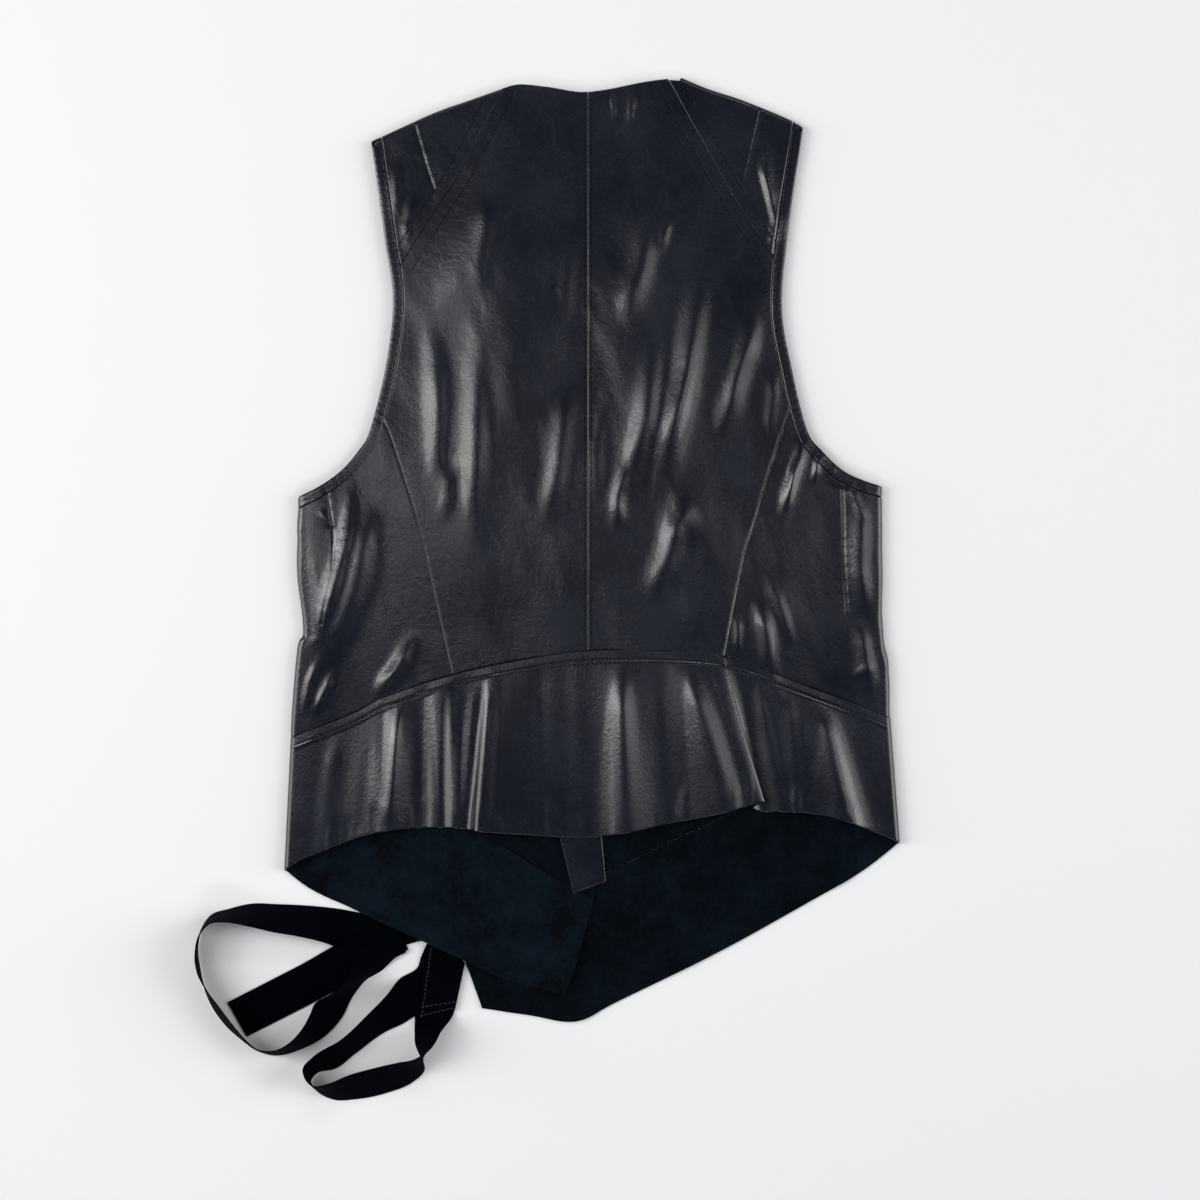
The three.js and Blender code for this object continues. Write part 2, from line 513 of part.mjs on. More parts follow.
function yoke(side, name) {
  const columns = 8;
  const shoulder = line(side.shoulder);
  const startX = side.armhole.at(-1)[0] - side.sign * (BAND_WIDTH + SEAM_GAP - ARM_CLEAR);
  const crest = spread(startX, shoulder.at(-1)[0], columns).map((x) => at(shoulder, 0, x));
  crest[0] = at(side.panelArm, 1, crest[0][1]);
  const armFoot = at(side.panelArm, 1, crest[0][1] - SHOULDER_ROLL);
  const armTurn = [(armFoot[0] - crest[0][0]) / SHOULDER_ROLL, -1];
  const turnAt = (share) => between(armTurn, side.neckTurn, share);
  const seam = beside(side.yokeLine, (-side.sign * SEAM_GAP) / 2);
  const seamRow = spread(side.yokeSeam[0][1] + YOKE_CLEAR, side.yokeNeck[1], columns)
    .map((y) => at(seam, 1, y));
  seamRow[0] = at(side.panelArm, 1, seamRow[0][1] + ARM_CLEAR);
  const start = crest.map(([x, y], c) => {
    const turn = turnAt(c / columns);
    return [x + turn[0] * SHOULDER_ROLL, y + turn[1] * SHOULDER_ROLL];
  });
  const topRows = 9;
  const armEdge = spread(start[0][1], seamRow[0][1], topRows).map((y) => at(side.panelArm, 1, y));
  const neckEdge = spread(0, 1, topRows).map((share) => between(start[columns], seamRow[columns], share));
  const upper = patch(start, seamRow, armEdge, neckEdge);
  const [armEnd, neckEnd] = frontYokeSeam(side);
  const hem = spread(0, 1, columns).map((share) => between(armEnd, neckEnd, share));
  const underArm = spread(armEnd[1], start[0][1], 3).map((y) => at(side.panelArm, 1, y));
  const underNeck = spread(0, 1, 3).map((share) => between(neckEnd, start[columns], share));
  const lower = patch(hem, start, underArm, underNeck);
  const turns = spread(-90, 90, SHOULDER_STEPS);
  const face = (inset) => [
    ...lower.slice(0, -1).map((row) => row.map(([x, y]) => [x, y, inset])),
    ...turns.map((turn) => crest.map((point, c) => (
      rolled(point, turnAt(c / columns), SHOULDER_ROLL, turn, inset)))),
    ...upper.slice(1).map((row) => row.map(([x, y]) => [x, y, backHeight(x, y) - inset])),
  ];
  return body(name, NAPPA, face(0), face(LEATHER));
}

/** A ring round the armhole: down the back, round the side, up beneath and over the shoulder. */
function armholeBand(side, name) {
  const whole = line(side.armhole, BAND_STEPS + 2);
  const outline = whole.slice(1, -1);
  const inside = beside(whole, side.sign * BAND_WIDTH).slice(1, -1);
  const sideRadius = SIDE_ROLL + BAND_PROUD / 2;
  const topRadius = SHOULDER_ROLL + BAND_PROUD / 2;
  const edges = [outline, inside];
  const beneath = edges[0].map((_, r) => edges.map((edge) => [...edge[r], 0]));
  const above = beneath.map((row) => row.map(([x, y]) => [x, y, backHeight(x, y) + BAND_PROUD])).reverse();
  const inward = -side.sign;
  const fold = at(side.edge, 1, ARM_LEVEL)[0];
  const sideTurns = spread(BAND_TURN, -BAND_TURN, BAND_TURN_STEPS);
  const aroundSide = (wall) => sideTurns.map((turn) => [side.arm, side.armIn].map((edge) => {
    const reach = sideRadius * (1 - Math.cos(THREE.MathUtils.degToRad(turn)));
    const y = at(edge, 0, fold + inward * reach)[1];
    return rolled([fold, y], [inward, 0], sideRadius, turn, wall);
  }));
  const shoulder = line(side.shoulder);
  const outerEnd = side.armhole.at(-1);
  const innerEnd = at(side.armIn, 1, at(shoulder, 0, outerEnd[0] + inward * BAND_WIDTH)[1]);
  const turnX = (at(side.arm, 1, outerEnd[1] - SHOULDER_ROLL)[0] - outerEnd[0]) / SHOULDER_ROLL;
  const overShoulder = (wall) => spread(-BAND_TURN, BAND_TURN, BAND_TURN_STEPS)
    .map((turn) => [outerEnd, innerEnd].map((end) => rolled(end, [turnX, -1], topRadius, turn, wall)));
  const raise = (rows, amount) => rows.map((row) => row.map(([x, y, z]) => [x, y, z + amount]));
  const outer = [...above, ...aroundSide(0), ...beneath, ...overShoulder(0)];
  const inner = [
    ...raise(above, -BAND_WALL), ...aroundSide(BAND_WALL), ...raise(beneath, BAND_WALL),
    ...overShoulder(BAND_WALL),
  ];
  return body(name, NAPPA, outer, inner, true);
}

/** A row of the flare table between two stations, on a smooth curve through them. */
function flareBetween(step, share) {
  const row = (k) => FLARE[THREE.MathUtils.clamp(step + k, 0, FLARE.length - 1)];
  const apart = (a, b) => Math.max(Math.hypot(a.x - b.x, a.z - b.z), 0.01);
  const [a, b, c, d] = [row(-1), row(0), row(1), row(2)];
  const [ab, bc, cd] = [apart(a, b), apart(b, c), apart(c, d)];
  const keys = ['waist', 'x', 'y', 'z'];
  return Object.fromEntries(keys.map((key) => {
    const start = (((b[key] - a[key]) / ab) * bc + ((c[key] - b[key]) / bc) * ab) / (ab + bc) * bc;
    const end = (((c[key] - b[key]) / bc) * cd + ((d[key] - c[key]) / cd) * bc) / (bc + cd) * bc;
    const [t, s] = [share, 1 - share];
    const held = b[key] * s * s * (1 + 2 * t) + c[key] * t * t * (1 + 2 * s);
    return [key, held + start * t * s * s - end * t * t * s];
  }));
}

/** The peplum: round both side folds and across the back, open flutes and one closed pleat. */
function peplum() {
  const stations = FLARE.slice(0, -1).flatMap((station, step) => {
    const wide = Math.abs(FLARE[step + 1].x - station.x) > WIDE_STATION;
    return (wide ? [0, 0.5] : [0]).map((share) => flareBetween(step, share));
  });
  stations.push(FLARE.at(-1));
  const levels = [0, 0.065, 0.085, 0.2, 0.38, 0.58, 0.8, 1];
  const half = LEATHER / 2;
  const sideRows = (side, v) => {
    const [top, hem] = [at(side.edge, 1, SIDE_FOOT)[0], side.silhouette[0][0]];
    const fold = top + (hem - top) * v;
    const rise = 1 - (1 - v) ** 2;
    const crown = 2 * SIDE_ROLL - half + (HEM_ROLL_TOP - 2 * SIDE_ROLL + half) * rise;
    const radius = (crown - half) / 2;
    const inward = -side.sign;
    const lower = UNDER_SHARES.map((share) => {
      const reach = SIDE_ROLL + (UNDER_WIDTH - SIDE_ROLL) * share;
      const [waistX, hemX] = [top + inward * reach, hem + inward * reach];
      const waistY = sideWaist(side, waistX, false) - SEAM_GAP / 2;
      return [fold + inward * reach, waistY + (at(side.hem, 0, hemX)[1] - waistY) * v, half];
    });
    const turned = spread(-90, 90, ROLL_STEPS).map((turn) => {
      const angle = THREE.MathUtils.degToRad(turn);
      const reach = half + radius * (1 - Math.cos(angle));
      const waistY = sideWaist(side, top + inward * reach, turn >= 0) - SEAM_GAP / 2;
      const edge = turn >= 0 ? side.hemCorner : side.hem;
      const hemY = at(edge, 0, hem + inward * reach)[1];
      return [fold + inward * reach, waistY + (hemY - waistY) * v, half + radius * (1 + Math.sin(angle))];
    });
    return [...lower, ...turned];
  };
  const middle = levels.map((v) => {
    const across = stations.map((station) => {
      const waistY = at(backWaist, 0, station.waist)[1] - SEAM_GAP / 2;
      const rise = 1 - (1 - v) ** 2;
      const start = backHeight(station.waist, waistY) - half;
      const down = (waistY - station.y) * v;
      const depth = depthFromSide(station.waist, waistY);
      const band = ALLOWANCE_RAISE * (1 - soft((down - ALLOWANCE) / ALLOWANCE_STEP))
        * soft((depth - ALLOWANCE_FROM) / ALLOWANCE_FADE);
      const x = station.waist + (station.x - station.waist) * v;
      return [x, waistY + (station.y - waistY) * v, start + (station.z - start) * rise + band];
    });
    return [...sideRows(LEFT, v), ...across, ...sideRows(RIGHT, v).reverse()];
  });
  const face = (offset) => middle.map((row) => row.map(([x, y, z], c) => {
    const [before, after] = [row[Math.max(c - 1, 0)], row[Math.min(c + 1, row.length - 1)]];
    const [dx, dz] = [after[0] - before[0], after[2] - before[2]];
    const length = Math.hypot(dx, dz);
    return [x - (offset * dz) / length, y, z + (offset * dx) / length];
  }));
  return body('peplum', NAPPA, face(half), face(-half));
}

/** How far the left front is lifted: where it rides over the right front and over the tie. */
function frontLift(x, y) {
  const lap = y < WRAP_CORNER ? at(RIGHT.under, 1, y)[0] : at(RIGHT.wrap, 1, y)[0];
  const overRight = WRAP_LIFT * soft((x - lap + WRAP_LEAD + WRAP_RAMP) / WRAP_RAMP);
  const acrossTie = soft((x - TIE_SPAN.left + TIE_RAMP) / TIE_RAMP)
    * soft((TIE_SPAN.right + TIE_RAMP - x) / TIE_RAMP);
  const overTie = TIE_ROOM * acrossTie * soft((TIE_SPAN.top + TIE_RAMP - y) / TIE_RAMP);
  return Math.max(overRight, overTie);
}

/** One front from the waist seam to the yoke's front seam. */
function frontBodice(side, name, lift) {
  const columns = 12;
  const seam = (y) => seamX(side, y, SEAM_GAP);
  const [armEnd, neckEnd] = frontYokeSeam(side);
  const low = sideWaist(side, seam(BODICE_LOW), false) + SEAM_GAP / 2;
  const corner = at(side.frontArm, 0, seam(BODICE_HIGH))[1];
  const [armLow, armHigh] = [corner, armEnd[1] - SEAM_GAP].map((y) => place(side.frontArm, 1, y));
  const armRows = spread(0, 1, 15).map((share) => armLow + (armHigh - armLow) * share ** BODICE_CROWDING);
  const outside = [
    ...spread(low, corner, 5).slice(0, -1).map((y) => [seam(y), y]),
    ...armRows.map((where) => pointAt(side.frontArm, where)),
  ];
  const rows = outside.length - 1;
  const start = side.wrapEdge[0][1] + SEAM_GAP / 2;
  const rise = (neckEnd[1] - SEAM_GAP - start) / (outside[rows][1] - low);
  const inside = outside.map(([, y]) => at(side.wrap, 1, start + (y - low) * rise));
  const bottom = spread(inside[0][0], outside[0][0], columns)
    .map((x) => [x, at(side.waist, 0, x)[1] + SEAM_GAP / 2]);
  const top = spread(0, 1, columns).map((share) => between(inside[rows], outside[rows], share));
  bottom[0] = inside[0];
  return panel(name, NAPPA, patch(bottom, top, inside, outside), (x, y) => lift(x, y) + LEATHER);
}

/** One front's flared part below the waist seam, its flesh side up. */
function frontPeplum(side, name, lift) {
  const rows = 7;
  const columns = 12;
  const startX = at(side.edge, 1, SIDE_FOOT)[0] - side.sign * (UNDER_WIDTH + SEAM_GAP);
  const hemX = side.silhouette[0][0] - side.sign * (UNDER_WIDTH + SEAM_GAP);
  const top = spread(startX, side.frontWaist.at(-1)[0], columns)
    .map((x) => [x, at(side.waist, 0, x)[1] - SEAM_GAP / 2]);
  const bottom = spread(hemX, side.frontHem.at(-1)[0], columns).map((x) => at(side.hem, 0, x));
  const sideEdge = spread(0, 1, rows).map((share) => between(bottom[0], top[0], share));
  const wrapEdge = spread(bottom[columns][1], top[columns][1], rows).map((y) => at(side.under, 1, y));
  wrapEdge[0] = bottom[columns];
  wrapEdge[rows] = top[columns];
  return panel(name, SUEDE, patch(bottom, top, sideEdge, wrapEdge), (x, y) => lift(x, y) + LEATHER);
}

/** A flat strip between a lower and an upper edge, its underside at its base. */
function strip(name, material, { low, high, base }) {
  const edge = (k) => spread(0, 1, 4).map((share) => between(low[k], high[k], share));
  return panel(name, material, patch(low, high, edge(0), edge(1)), () => base + LEATHER);
}

/** A tape row's two edges: a tilted row keeps the tape's width by its height. */
function tapeEdges({ a, b, base, raised }) {
  const reach = Math.hypot(b[0] - a[0], b[1] - a[1]);
  if (!raised || reach >= TAPE_WIDTH) {
    const spare = (1 - TAPE_WIDTH / reach) / 2;
    return [[...between(a, b, spare), base], [...between(a, b, 1 - spare), base]];
  }
  const height = Math.sqrt(TAPE_WIDTH ** 2 - reach ** 2);
  return [[...a, base + (raised === 'a' ? height : 0)], [...b, base + (raised === 'b' ? height : 0)]];
}

/** A tape of an even wall along its rows. */
function tape(name, rows) {
  const middle = rows.map(tapeEdges).map(([a, b]) => [a, between(a, b, 0.5), b]);
  const vector = (from, to) => new THREE.Vector3(...to).sub(new THREE.Vector3(...from));
  const face = (offset) => middle.map((row, r) => {
    const before = middle[Math.max(r - 1, 0)];
    const after = middle[Math.min(r + 1, middle.length - 1)];
    return row.map((point, c) => {
      const out = vector(before[c], after[c]).cross(vector(row[0], row[2])).normalize();
      return out.multiplyScalar(offset).add(new THREE.Vector3(...point)).toArray();
    });
  });
  return body(name, TWILL, face(TAPE_WALL / 2), face(-TAPE_WALL / 2));
}

const flat = () => 0;
const vest = new THREE.Group();
vest.add(
  backPanel(LEFT, 'back_left'),
  backPanel(RIGHT, 'back_right'),
  sidePanel(LEFT, 'side_left'),
  sidePanel(RIGHT, 'side_right'),
  yoke(LEFT, 'yoke_left'),
  yoke(RIGHT, 'yoke_right'),
  armholeBand(LEFT, 'armhole_band_left'),
  armholeBand(RIGHT, 'armhole_band_right'),
  peplum(),
  frontBodice(LEFT, 'front_left', frontLift),
  frontBodice(RIGHT, 'front_right', flat),
  frontPeplum(LEFT, 'front_peplum_left', frontLift),
  frontPeplum(RIGHT, 'front_peplum_right', flat),
  strip('front_facing', NAPPA, FACING),
  tape('tie', TIE),
  strip('tie_tab', TWILL, TAB),
);

const frame = new THREE.Box3().setFromObject(vest);
const centre = frame.getCenter(new THREE.Vector3());
vest.position.set(-centre.x, -centre.y, -frame.min.z);
vest.updateMatrixWorld(true);

export default vest;
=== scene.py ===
"""A black leather wrap vest laid flat with its back up, and its tape tie beside it.

Plan measures are in millimetres: X across from the centre back seam, Y up from the waist
seam, Z up from the table. Left and right are as seen from above.
"""
import logging
import math
from collections.abc import Callable
from dataclasses import dataclass, field
from enum import Enum
from functools import cached_property

import bpy
import numpy as np
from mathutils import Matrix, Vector


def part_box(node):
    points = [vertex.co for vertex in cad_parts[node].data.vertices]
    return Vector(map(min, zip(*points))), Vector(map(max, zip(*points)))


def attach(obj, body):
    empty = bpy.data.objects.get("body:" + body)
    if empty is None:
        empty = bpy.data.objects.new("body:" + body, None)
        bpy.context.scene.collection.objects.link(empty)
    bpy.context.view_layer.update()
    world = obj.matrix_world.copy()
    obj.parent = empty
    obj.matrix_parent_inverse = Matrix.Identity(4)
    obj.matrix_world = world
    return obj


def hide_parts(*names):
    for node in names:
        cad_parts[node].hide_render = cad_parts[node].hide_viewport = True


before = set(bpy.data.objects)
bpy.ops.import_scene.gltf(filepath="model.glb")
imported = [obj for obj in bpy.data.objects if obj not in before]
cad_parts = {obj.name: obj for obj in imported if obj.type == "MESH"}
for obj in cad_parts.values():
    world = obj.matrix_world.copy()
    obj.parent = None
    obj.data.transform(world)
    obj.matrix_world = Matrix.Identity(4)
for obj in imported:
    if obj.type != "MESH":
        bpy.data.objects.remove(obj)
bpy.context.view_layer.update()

LOG = logging.getLogger("vest")
MM = 0.001

# The form's own measures in millimetres
LEATHER = 1.2
SEAM_GAP = 0.3
ARM_GAP = 0.45
BACK_HEIGHT = 6.4
SIDE_ROLL = 4.0
SIDE_FADE = 45.0
SIDE_FOOT = -58.0
ARM_LEVEL = 112.0
UNDER_WIDTH = 32.0
SHOULDER_ROLL = BACK_HEIGHT / 2
YOKE_UNDER = 25.0
BAND_WIDTH = 8.0
BAND_WALL = 2.0
BAND_PROUD = 0.4
ALLOWANCE = 9.0

# The grids' steps and the turn of a cut edge, in millimetres
STEP = 1.5
FINE_STEPS = (0.0, 0.2, 0.5, 0.9, 1.4)
EDGE_ROUND = 0.55
EDGE_DROP = 0.26
LEAST_WALL = 0.35
INSIDE_SLACK = 0.25
FAR_OFF = 30.0
SEED = 11

Pairs = list[tuple[float, float]]
Colour = tuple[float, float, float]


class Slot(Enum):
    """The record's material slots."""

    LEATHER = "leather"
    SUEDE = "suede"
    TWILL = "twill"


# Plan geometry


def catmull(points: np.ndarray, steps: int) -> np.ndarray:
    """A cubic through the points: each span's end slopes are half the step past its ends.

    Args:
        points: The points that the curve passes, one a row.
        steps: How many chords each span is cut into.

    Returns:
        The curve's points, one a row.
    """
    ends = np.vstack([points[:1], points, points[-1:]])
    places = np.linspace(0, len(points) - 1, steps * (len(points) - 1) + 1)
    span = np.minimum(places.astype(int), len(points) - 2)
    t = (places - span)[:, None]
    a, b, c, d = ends[span], ends[span + 1], ends[span + 2], ends[span + 3]
    start, end = (c - a) / 2, (d - b) / 2
    return (2 * b - 2 * c + start + end) * t**3 + (3 * c - 3 * b - 2 * start - end) * t**2 + start * t + b


def lengths(points: np.ndarray) -> np.ndarray:
    """How far along a line each of its points lies, from the sum of its chords."""
    return np.concatenate([[0.0], np.cumsum(np.linalg.norm(np.diff(points, axis=0), axis=1))])


def resample(points: np.ndarray, distances: np.ndarray) -> np.ndarray:
    """The points of a line at given distances along it, straight between its own points."""
    run = lengths(points)
    return np.stack([np.interp(distances, run, points[:, k]) for k in range(points.shape[1])], axis=1)


def unit(vectors: np.ndarray) -> np.ndarray:
    """Vectors along the last axis, at length 1."""
    return vectors / np.linalg.norm(vectors, axis=-1, keepdims=True)


def each_mm(line: np.ndarray, margin: float = 0.0) -> np.ndarray:
    """A line's points at every millimetre, without a margin at both ends."""
    return resample(line, np.arange(margin, lengths(line)[-1] - margin, 1.0))


def weighed_cubic(points: np.ndarray, chord: np.ndarray, span: np.ndarray, t: np.ndarray) -> np.ndarray:
    """A cubic through rows of numbers, whose slope at a row weighs the chords on both sides.

    Args:
        points: The rows that the curve passes.
        chord: Each span's length.
        span: Which span each result lies in.
        t: Its share of that span, as a column.

    Returns:
        One row for each share.
    """
    rate = np.diff(points, axis=0) / chord[:, None]
    before, after = chord[:-1, None], chord[1:, None]
    slope = np.empty_like(points)
    slope[1:-1] = (rate[:-1] * after + rate[1:] * before) / (before + after)
    slope[0], slope[-1] = rate[0], rate[-1]
    size = chord[span][:, None]
    return (points[span] * (1 - t) ** 2 * (1 + 2 * t) + points[span + 1] * t**2 * (3 - 2 * t)
            + slope[span] * size * t * (1 - t) ** 2 - slope[span + 1] * size * t**2 * (1 - t))


def plan_line(points: Pairs) -> np.ndarray:
    """A smooth plan line through a few points, as 400 even chords."""
    curve = catmull(np.array(points, float), 60)
    return resample(curve, np.linspace(0, lengths(curve)[-1], 401))


def beside(line: np.ndarray, distance: float, run_on: float = 30.0) -> np.ndarray:
    """A plan line moved to its left by a distance, along its normals, with its ends run on.

    Args:
        line: The plan line.
        distance: How far it moves; to its right if this is negative.
        run_on: How much longer it gets at each end.

    Returns:
        The moved line.
    """
    slope = unit(np.gradient(line, axis=0))
    moved = line + distance * np.stack([-slope[:, 1], slope[:, 0]], axis=1)
    return np.vstack([moved[:1] - run_on * slope[:1], moved, moved[-1:] + run_on * slope[-1:]])


def read(line: np.ndarray, axis: int, values: np.ndarray | float) -> np.ndarray:
    """The other coordinate of a plan line where one coordinate has given values."""
    order = np.argsort(line[:, axis], kind="stable")
    return np.interp(values, line[order, axis], line[order, 1 - axis])


def at_x(line: np.ndarray, x: np.ndarray, lift: float = 0.0) -> np.ndarray:
    """A plan line's points at given x, moved up by a lift."""
    return np.stack([x, read(line, 0, x) + lift], axis=1)


def at_y(line: np.ndarray, y: np.ndarray) -> np.ndarray:
    """A plan line's points at given y."""
    return np.stack([read(line, 1, y), y], axis=1)


def between(start: np.ndarray, end: np.ndarray, along: np.ndarray) -> np.ndarray:
    """Points on the straight line from one end to the other, at given shares."""
    return start + (end - start) * along[:, None]


def raised(plan: np.ndarray, z: np.ndarray) -> np.ndarray:
    """Plan points with heights added."""
    return np.concatenate([plan, z[..., None]], axis=-1)


def place(line: np.ndarray, axis: int, value: float) -> float:
    """How far along a plan line one coordinate has a value."""
    order = np.argsort(line[:, axis], kind="stable")
    return float(np.interp(value, line[order, axis], lengths(line)[order]))


def coons(bottom: np.ndarray, top: np.ndarray, left: np.ndarray, right: np.ndarray,
          u: np.ndarray, v: np.ndarray) -> np.ndarray:
    """Fills four edges: the two ruled surfaces added, less the one through the corners.

    Args:
        bottom: Points of the lower edge, one for each u.
        top: Points of the upper edge, one for each u.
        left: Points of the left edge, one for each v.
        right: Points of the right edge, one for each v.
        u: Shares across.
        v: Shares up.

    Returns:
        Plan points, rows up and columns across.
    """
    s, t = u[None, :, None], v[:, None, None]
    ruled = (1 - t) * bottom[None] + t * top[None] + (1 - s) * left[:, None] + s * right[:, None]
    corners = ((1 - s) * (1 - t) * bottom[0] + s * (1 - t) * bottom[-1]
               + (1 - s) * t * top[0] + s * t * top[-1])
    return ruled - corners


def shares(length: float, step: float = STEP, low: bool = True, high: bool = True) -> np.ndarray:
    """Shares from 0 to 1 at an even step, closer together near the edges that are rounded.

    Args:
        length: The real length in millimetres.
        step: The even step in millimetres.
        low: Whether the start is a rounded edge.
        high: Whether the end is a rounded edge.

    Returns:
        The shares, rising.
    """
    fine = np.array(FINE_STEPS)
    start = fine if low else fine[:1]
    end = length - (fine if high else fine[:1])[::-1]
    count = max(int((end[0] - start[-1]) / step), 2)
    middle = np.linspace(start[-1], end[0], count + 1)[1:-1]
    return np.concatenate([start, middle, end]) / length


def soft(share: np.ndarray | float) -> np.ndarray:
    """A share held between 0 and 1 that starts and ends softly: 3t^2 - 2t^3."""
    t = np.clip(share, 0, 1)
    return t * t * (3 - 2 * t)


def bell(away: np.ndarray, width: np.ndarray | float) -> np.ndarray:
    """A bell that is 1 at no distance and 1/e at its width: exp(-(away/width)^2)."""
    return np.exp(-((away / width) ** 2))


def edge_depths(plan: np.ndarray) -> tuple[np.ndarray, np.ndarray, np.ndarray, np.ndarray]:
    """How far each grid point lies from the first and last column and the first and last row."""
    across = np.linalg.norm(np.diff(plan, axis=1), axis=2)
    up = np.linalg.norm(np.diff(plan, axis=0), axis=2)
    left = np.concatenate([np.zeros((plan.shape[0], 1)), np.cumsum(across, axis=1)], axis=1)
    low = np.concatenate([np.zeros((1, plan.shape[1])), np.cumsum(up, axis=0)], axis=0)
    return left, left[:, -1:] - left, low, low[-1:] - low


def rounding(depth: np.ndarray, drop: float = EDGE_DROP, radius: float = EDGE_ROUND) -> np.ndarray:
    """How far an edge turns down: a quarter ellipse over the last stretch before it."""
    near = np.clip(1 - depth / radius, 0, 1)
    return drop * (1 - np.sqrt(np.maximum(1 - near**2, 0)))


def nearest(x: np.ndarray, y: np.ndarray, line: np.ndarray) -> tuple[np.ndarray, np.ndarray]:
    """The distance from each point to a plan line, and how far along it the nearest place is.

    Args:
        x: First coordinates, any shape.
        y: Second coordinates, the same shape.
        line: The plan line.

    Returns:
        Distances and places along, in the points' shape. Points farther off read FAR_OFF.
    """
    flat = np.stack([x.ravel(), y.ravel()], axis=1)
    distance = np.full(len(flat), FAR_OFF)
    along = np.zeros(len(flat))
    low, high = line.min(0) - FAR_OFF, line.max(0) + FAR_OFF
    inside = np.flatnonzero(np.all((flat > low) & (flat < high), axis=1))
    coarse = resample(line, np.linspace(0, lengths(line)[-1], 61))
    run = lengths(coarse)
    a, step = coarse[:-1], np.diff(coarse, axis=0)
    for part in np.array_split(inside, max(len(inside) // 20000, 1)):
        offset = flat[part][:, None] - a[None]
        share = np.clip((offset * step).sum(2) / (step**2).sum(1), 0, 1)
        gap = np.linalg.norm(offset - share[..., None] * step, axis=2)
        best = gap.argmin(1)
        rows = np.arange(len(part))
        distance[part] = np.minimum(gap[rows, best], FAR_OFF)
        along[part] = run[best] + share[rows, best] * (run[best + 1] - run[best])
    return distance.reshape(x.shape), along.reshape(x.shape)


# Seams and edges


@dataclass(frozen=True)
class Side:
    """One side's seams and edges, each from its lower end up or from the centre out."""

    sign: int
    silhouette: Pairs
    princess: Pairs
    armhole: Pairs
    yoke_seam: Pairs
    shoulder: Pairs
    yoke_neck: tuple[float, float]
    neck_turn: tuple[float, float]
    front_waist: Pairs
    front_hem: Pairs
    front_edge: Pairs
    wrap_edge: Pairs
    hem_corner: Pairs
    shoulder_dart: Pairs
    side_dart: Pairs

    @cached_property
    def edge(self) -> np.ndarray:
        """The side fold."""
        return plan_line(self.silhouette)

    @cached_property
    def arm(self) -> np.ndarray:
        """The armhole's outline, its ends run on."""
        return beside(plan_line(self.armhole), 0.0)

    @cached_property
    def arm_in(self) -> np.ndarray:
        """The armhole band's inner edge."""
        return beside(plan_line(self.armhole), self.sign * BAND_WIDTH)

    @cached_property
    def panel_arm(self) -> np.ndarray:
        """The panels' edge beside the armhole band."""
        return beside(plan_line(self.armhole), self.sign * (BAND_WIDTH + ARM_GAP))

    @cached_property
    def waist(self) -> np.ndarray:
        """The front waist seam."""
        return beside(plan_line(self.front_waist), 0.0)

    @cached_property
    def hem(self) -> np.ndarray:
        """The front hem."""
        return plan_line(self.front_hem)

    @property
    def inward(self) -> int:
        """The direction from the side fold to the centre: 1 or -1."""
        return -self.sign

    @property
    def word(self) -> str:
        """The side's word in the pieces' names."""
        return "left" if self.sign < 0 else "right"

    def fold(self, y: np.ndarray | float) -> np.ndarray:
        """The side fold's x at heights above the waist seam's end."""
        return read(self.edge, 1, np.clip(y, SIDE_FOOT, None))

    @cached_property
    def fold_foot(self) -> float:
        """The side fold's x at its foot."""
        return float(self.fold(SIDE_FOOT))

    @cached_property
    def fold_arm(self) -> float:
        """The side fold's x at the armhole's level."""
        return float(self.fold(ARM_LEVEL))


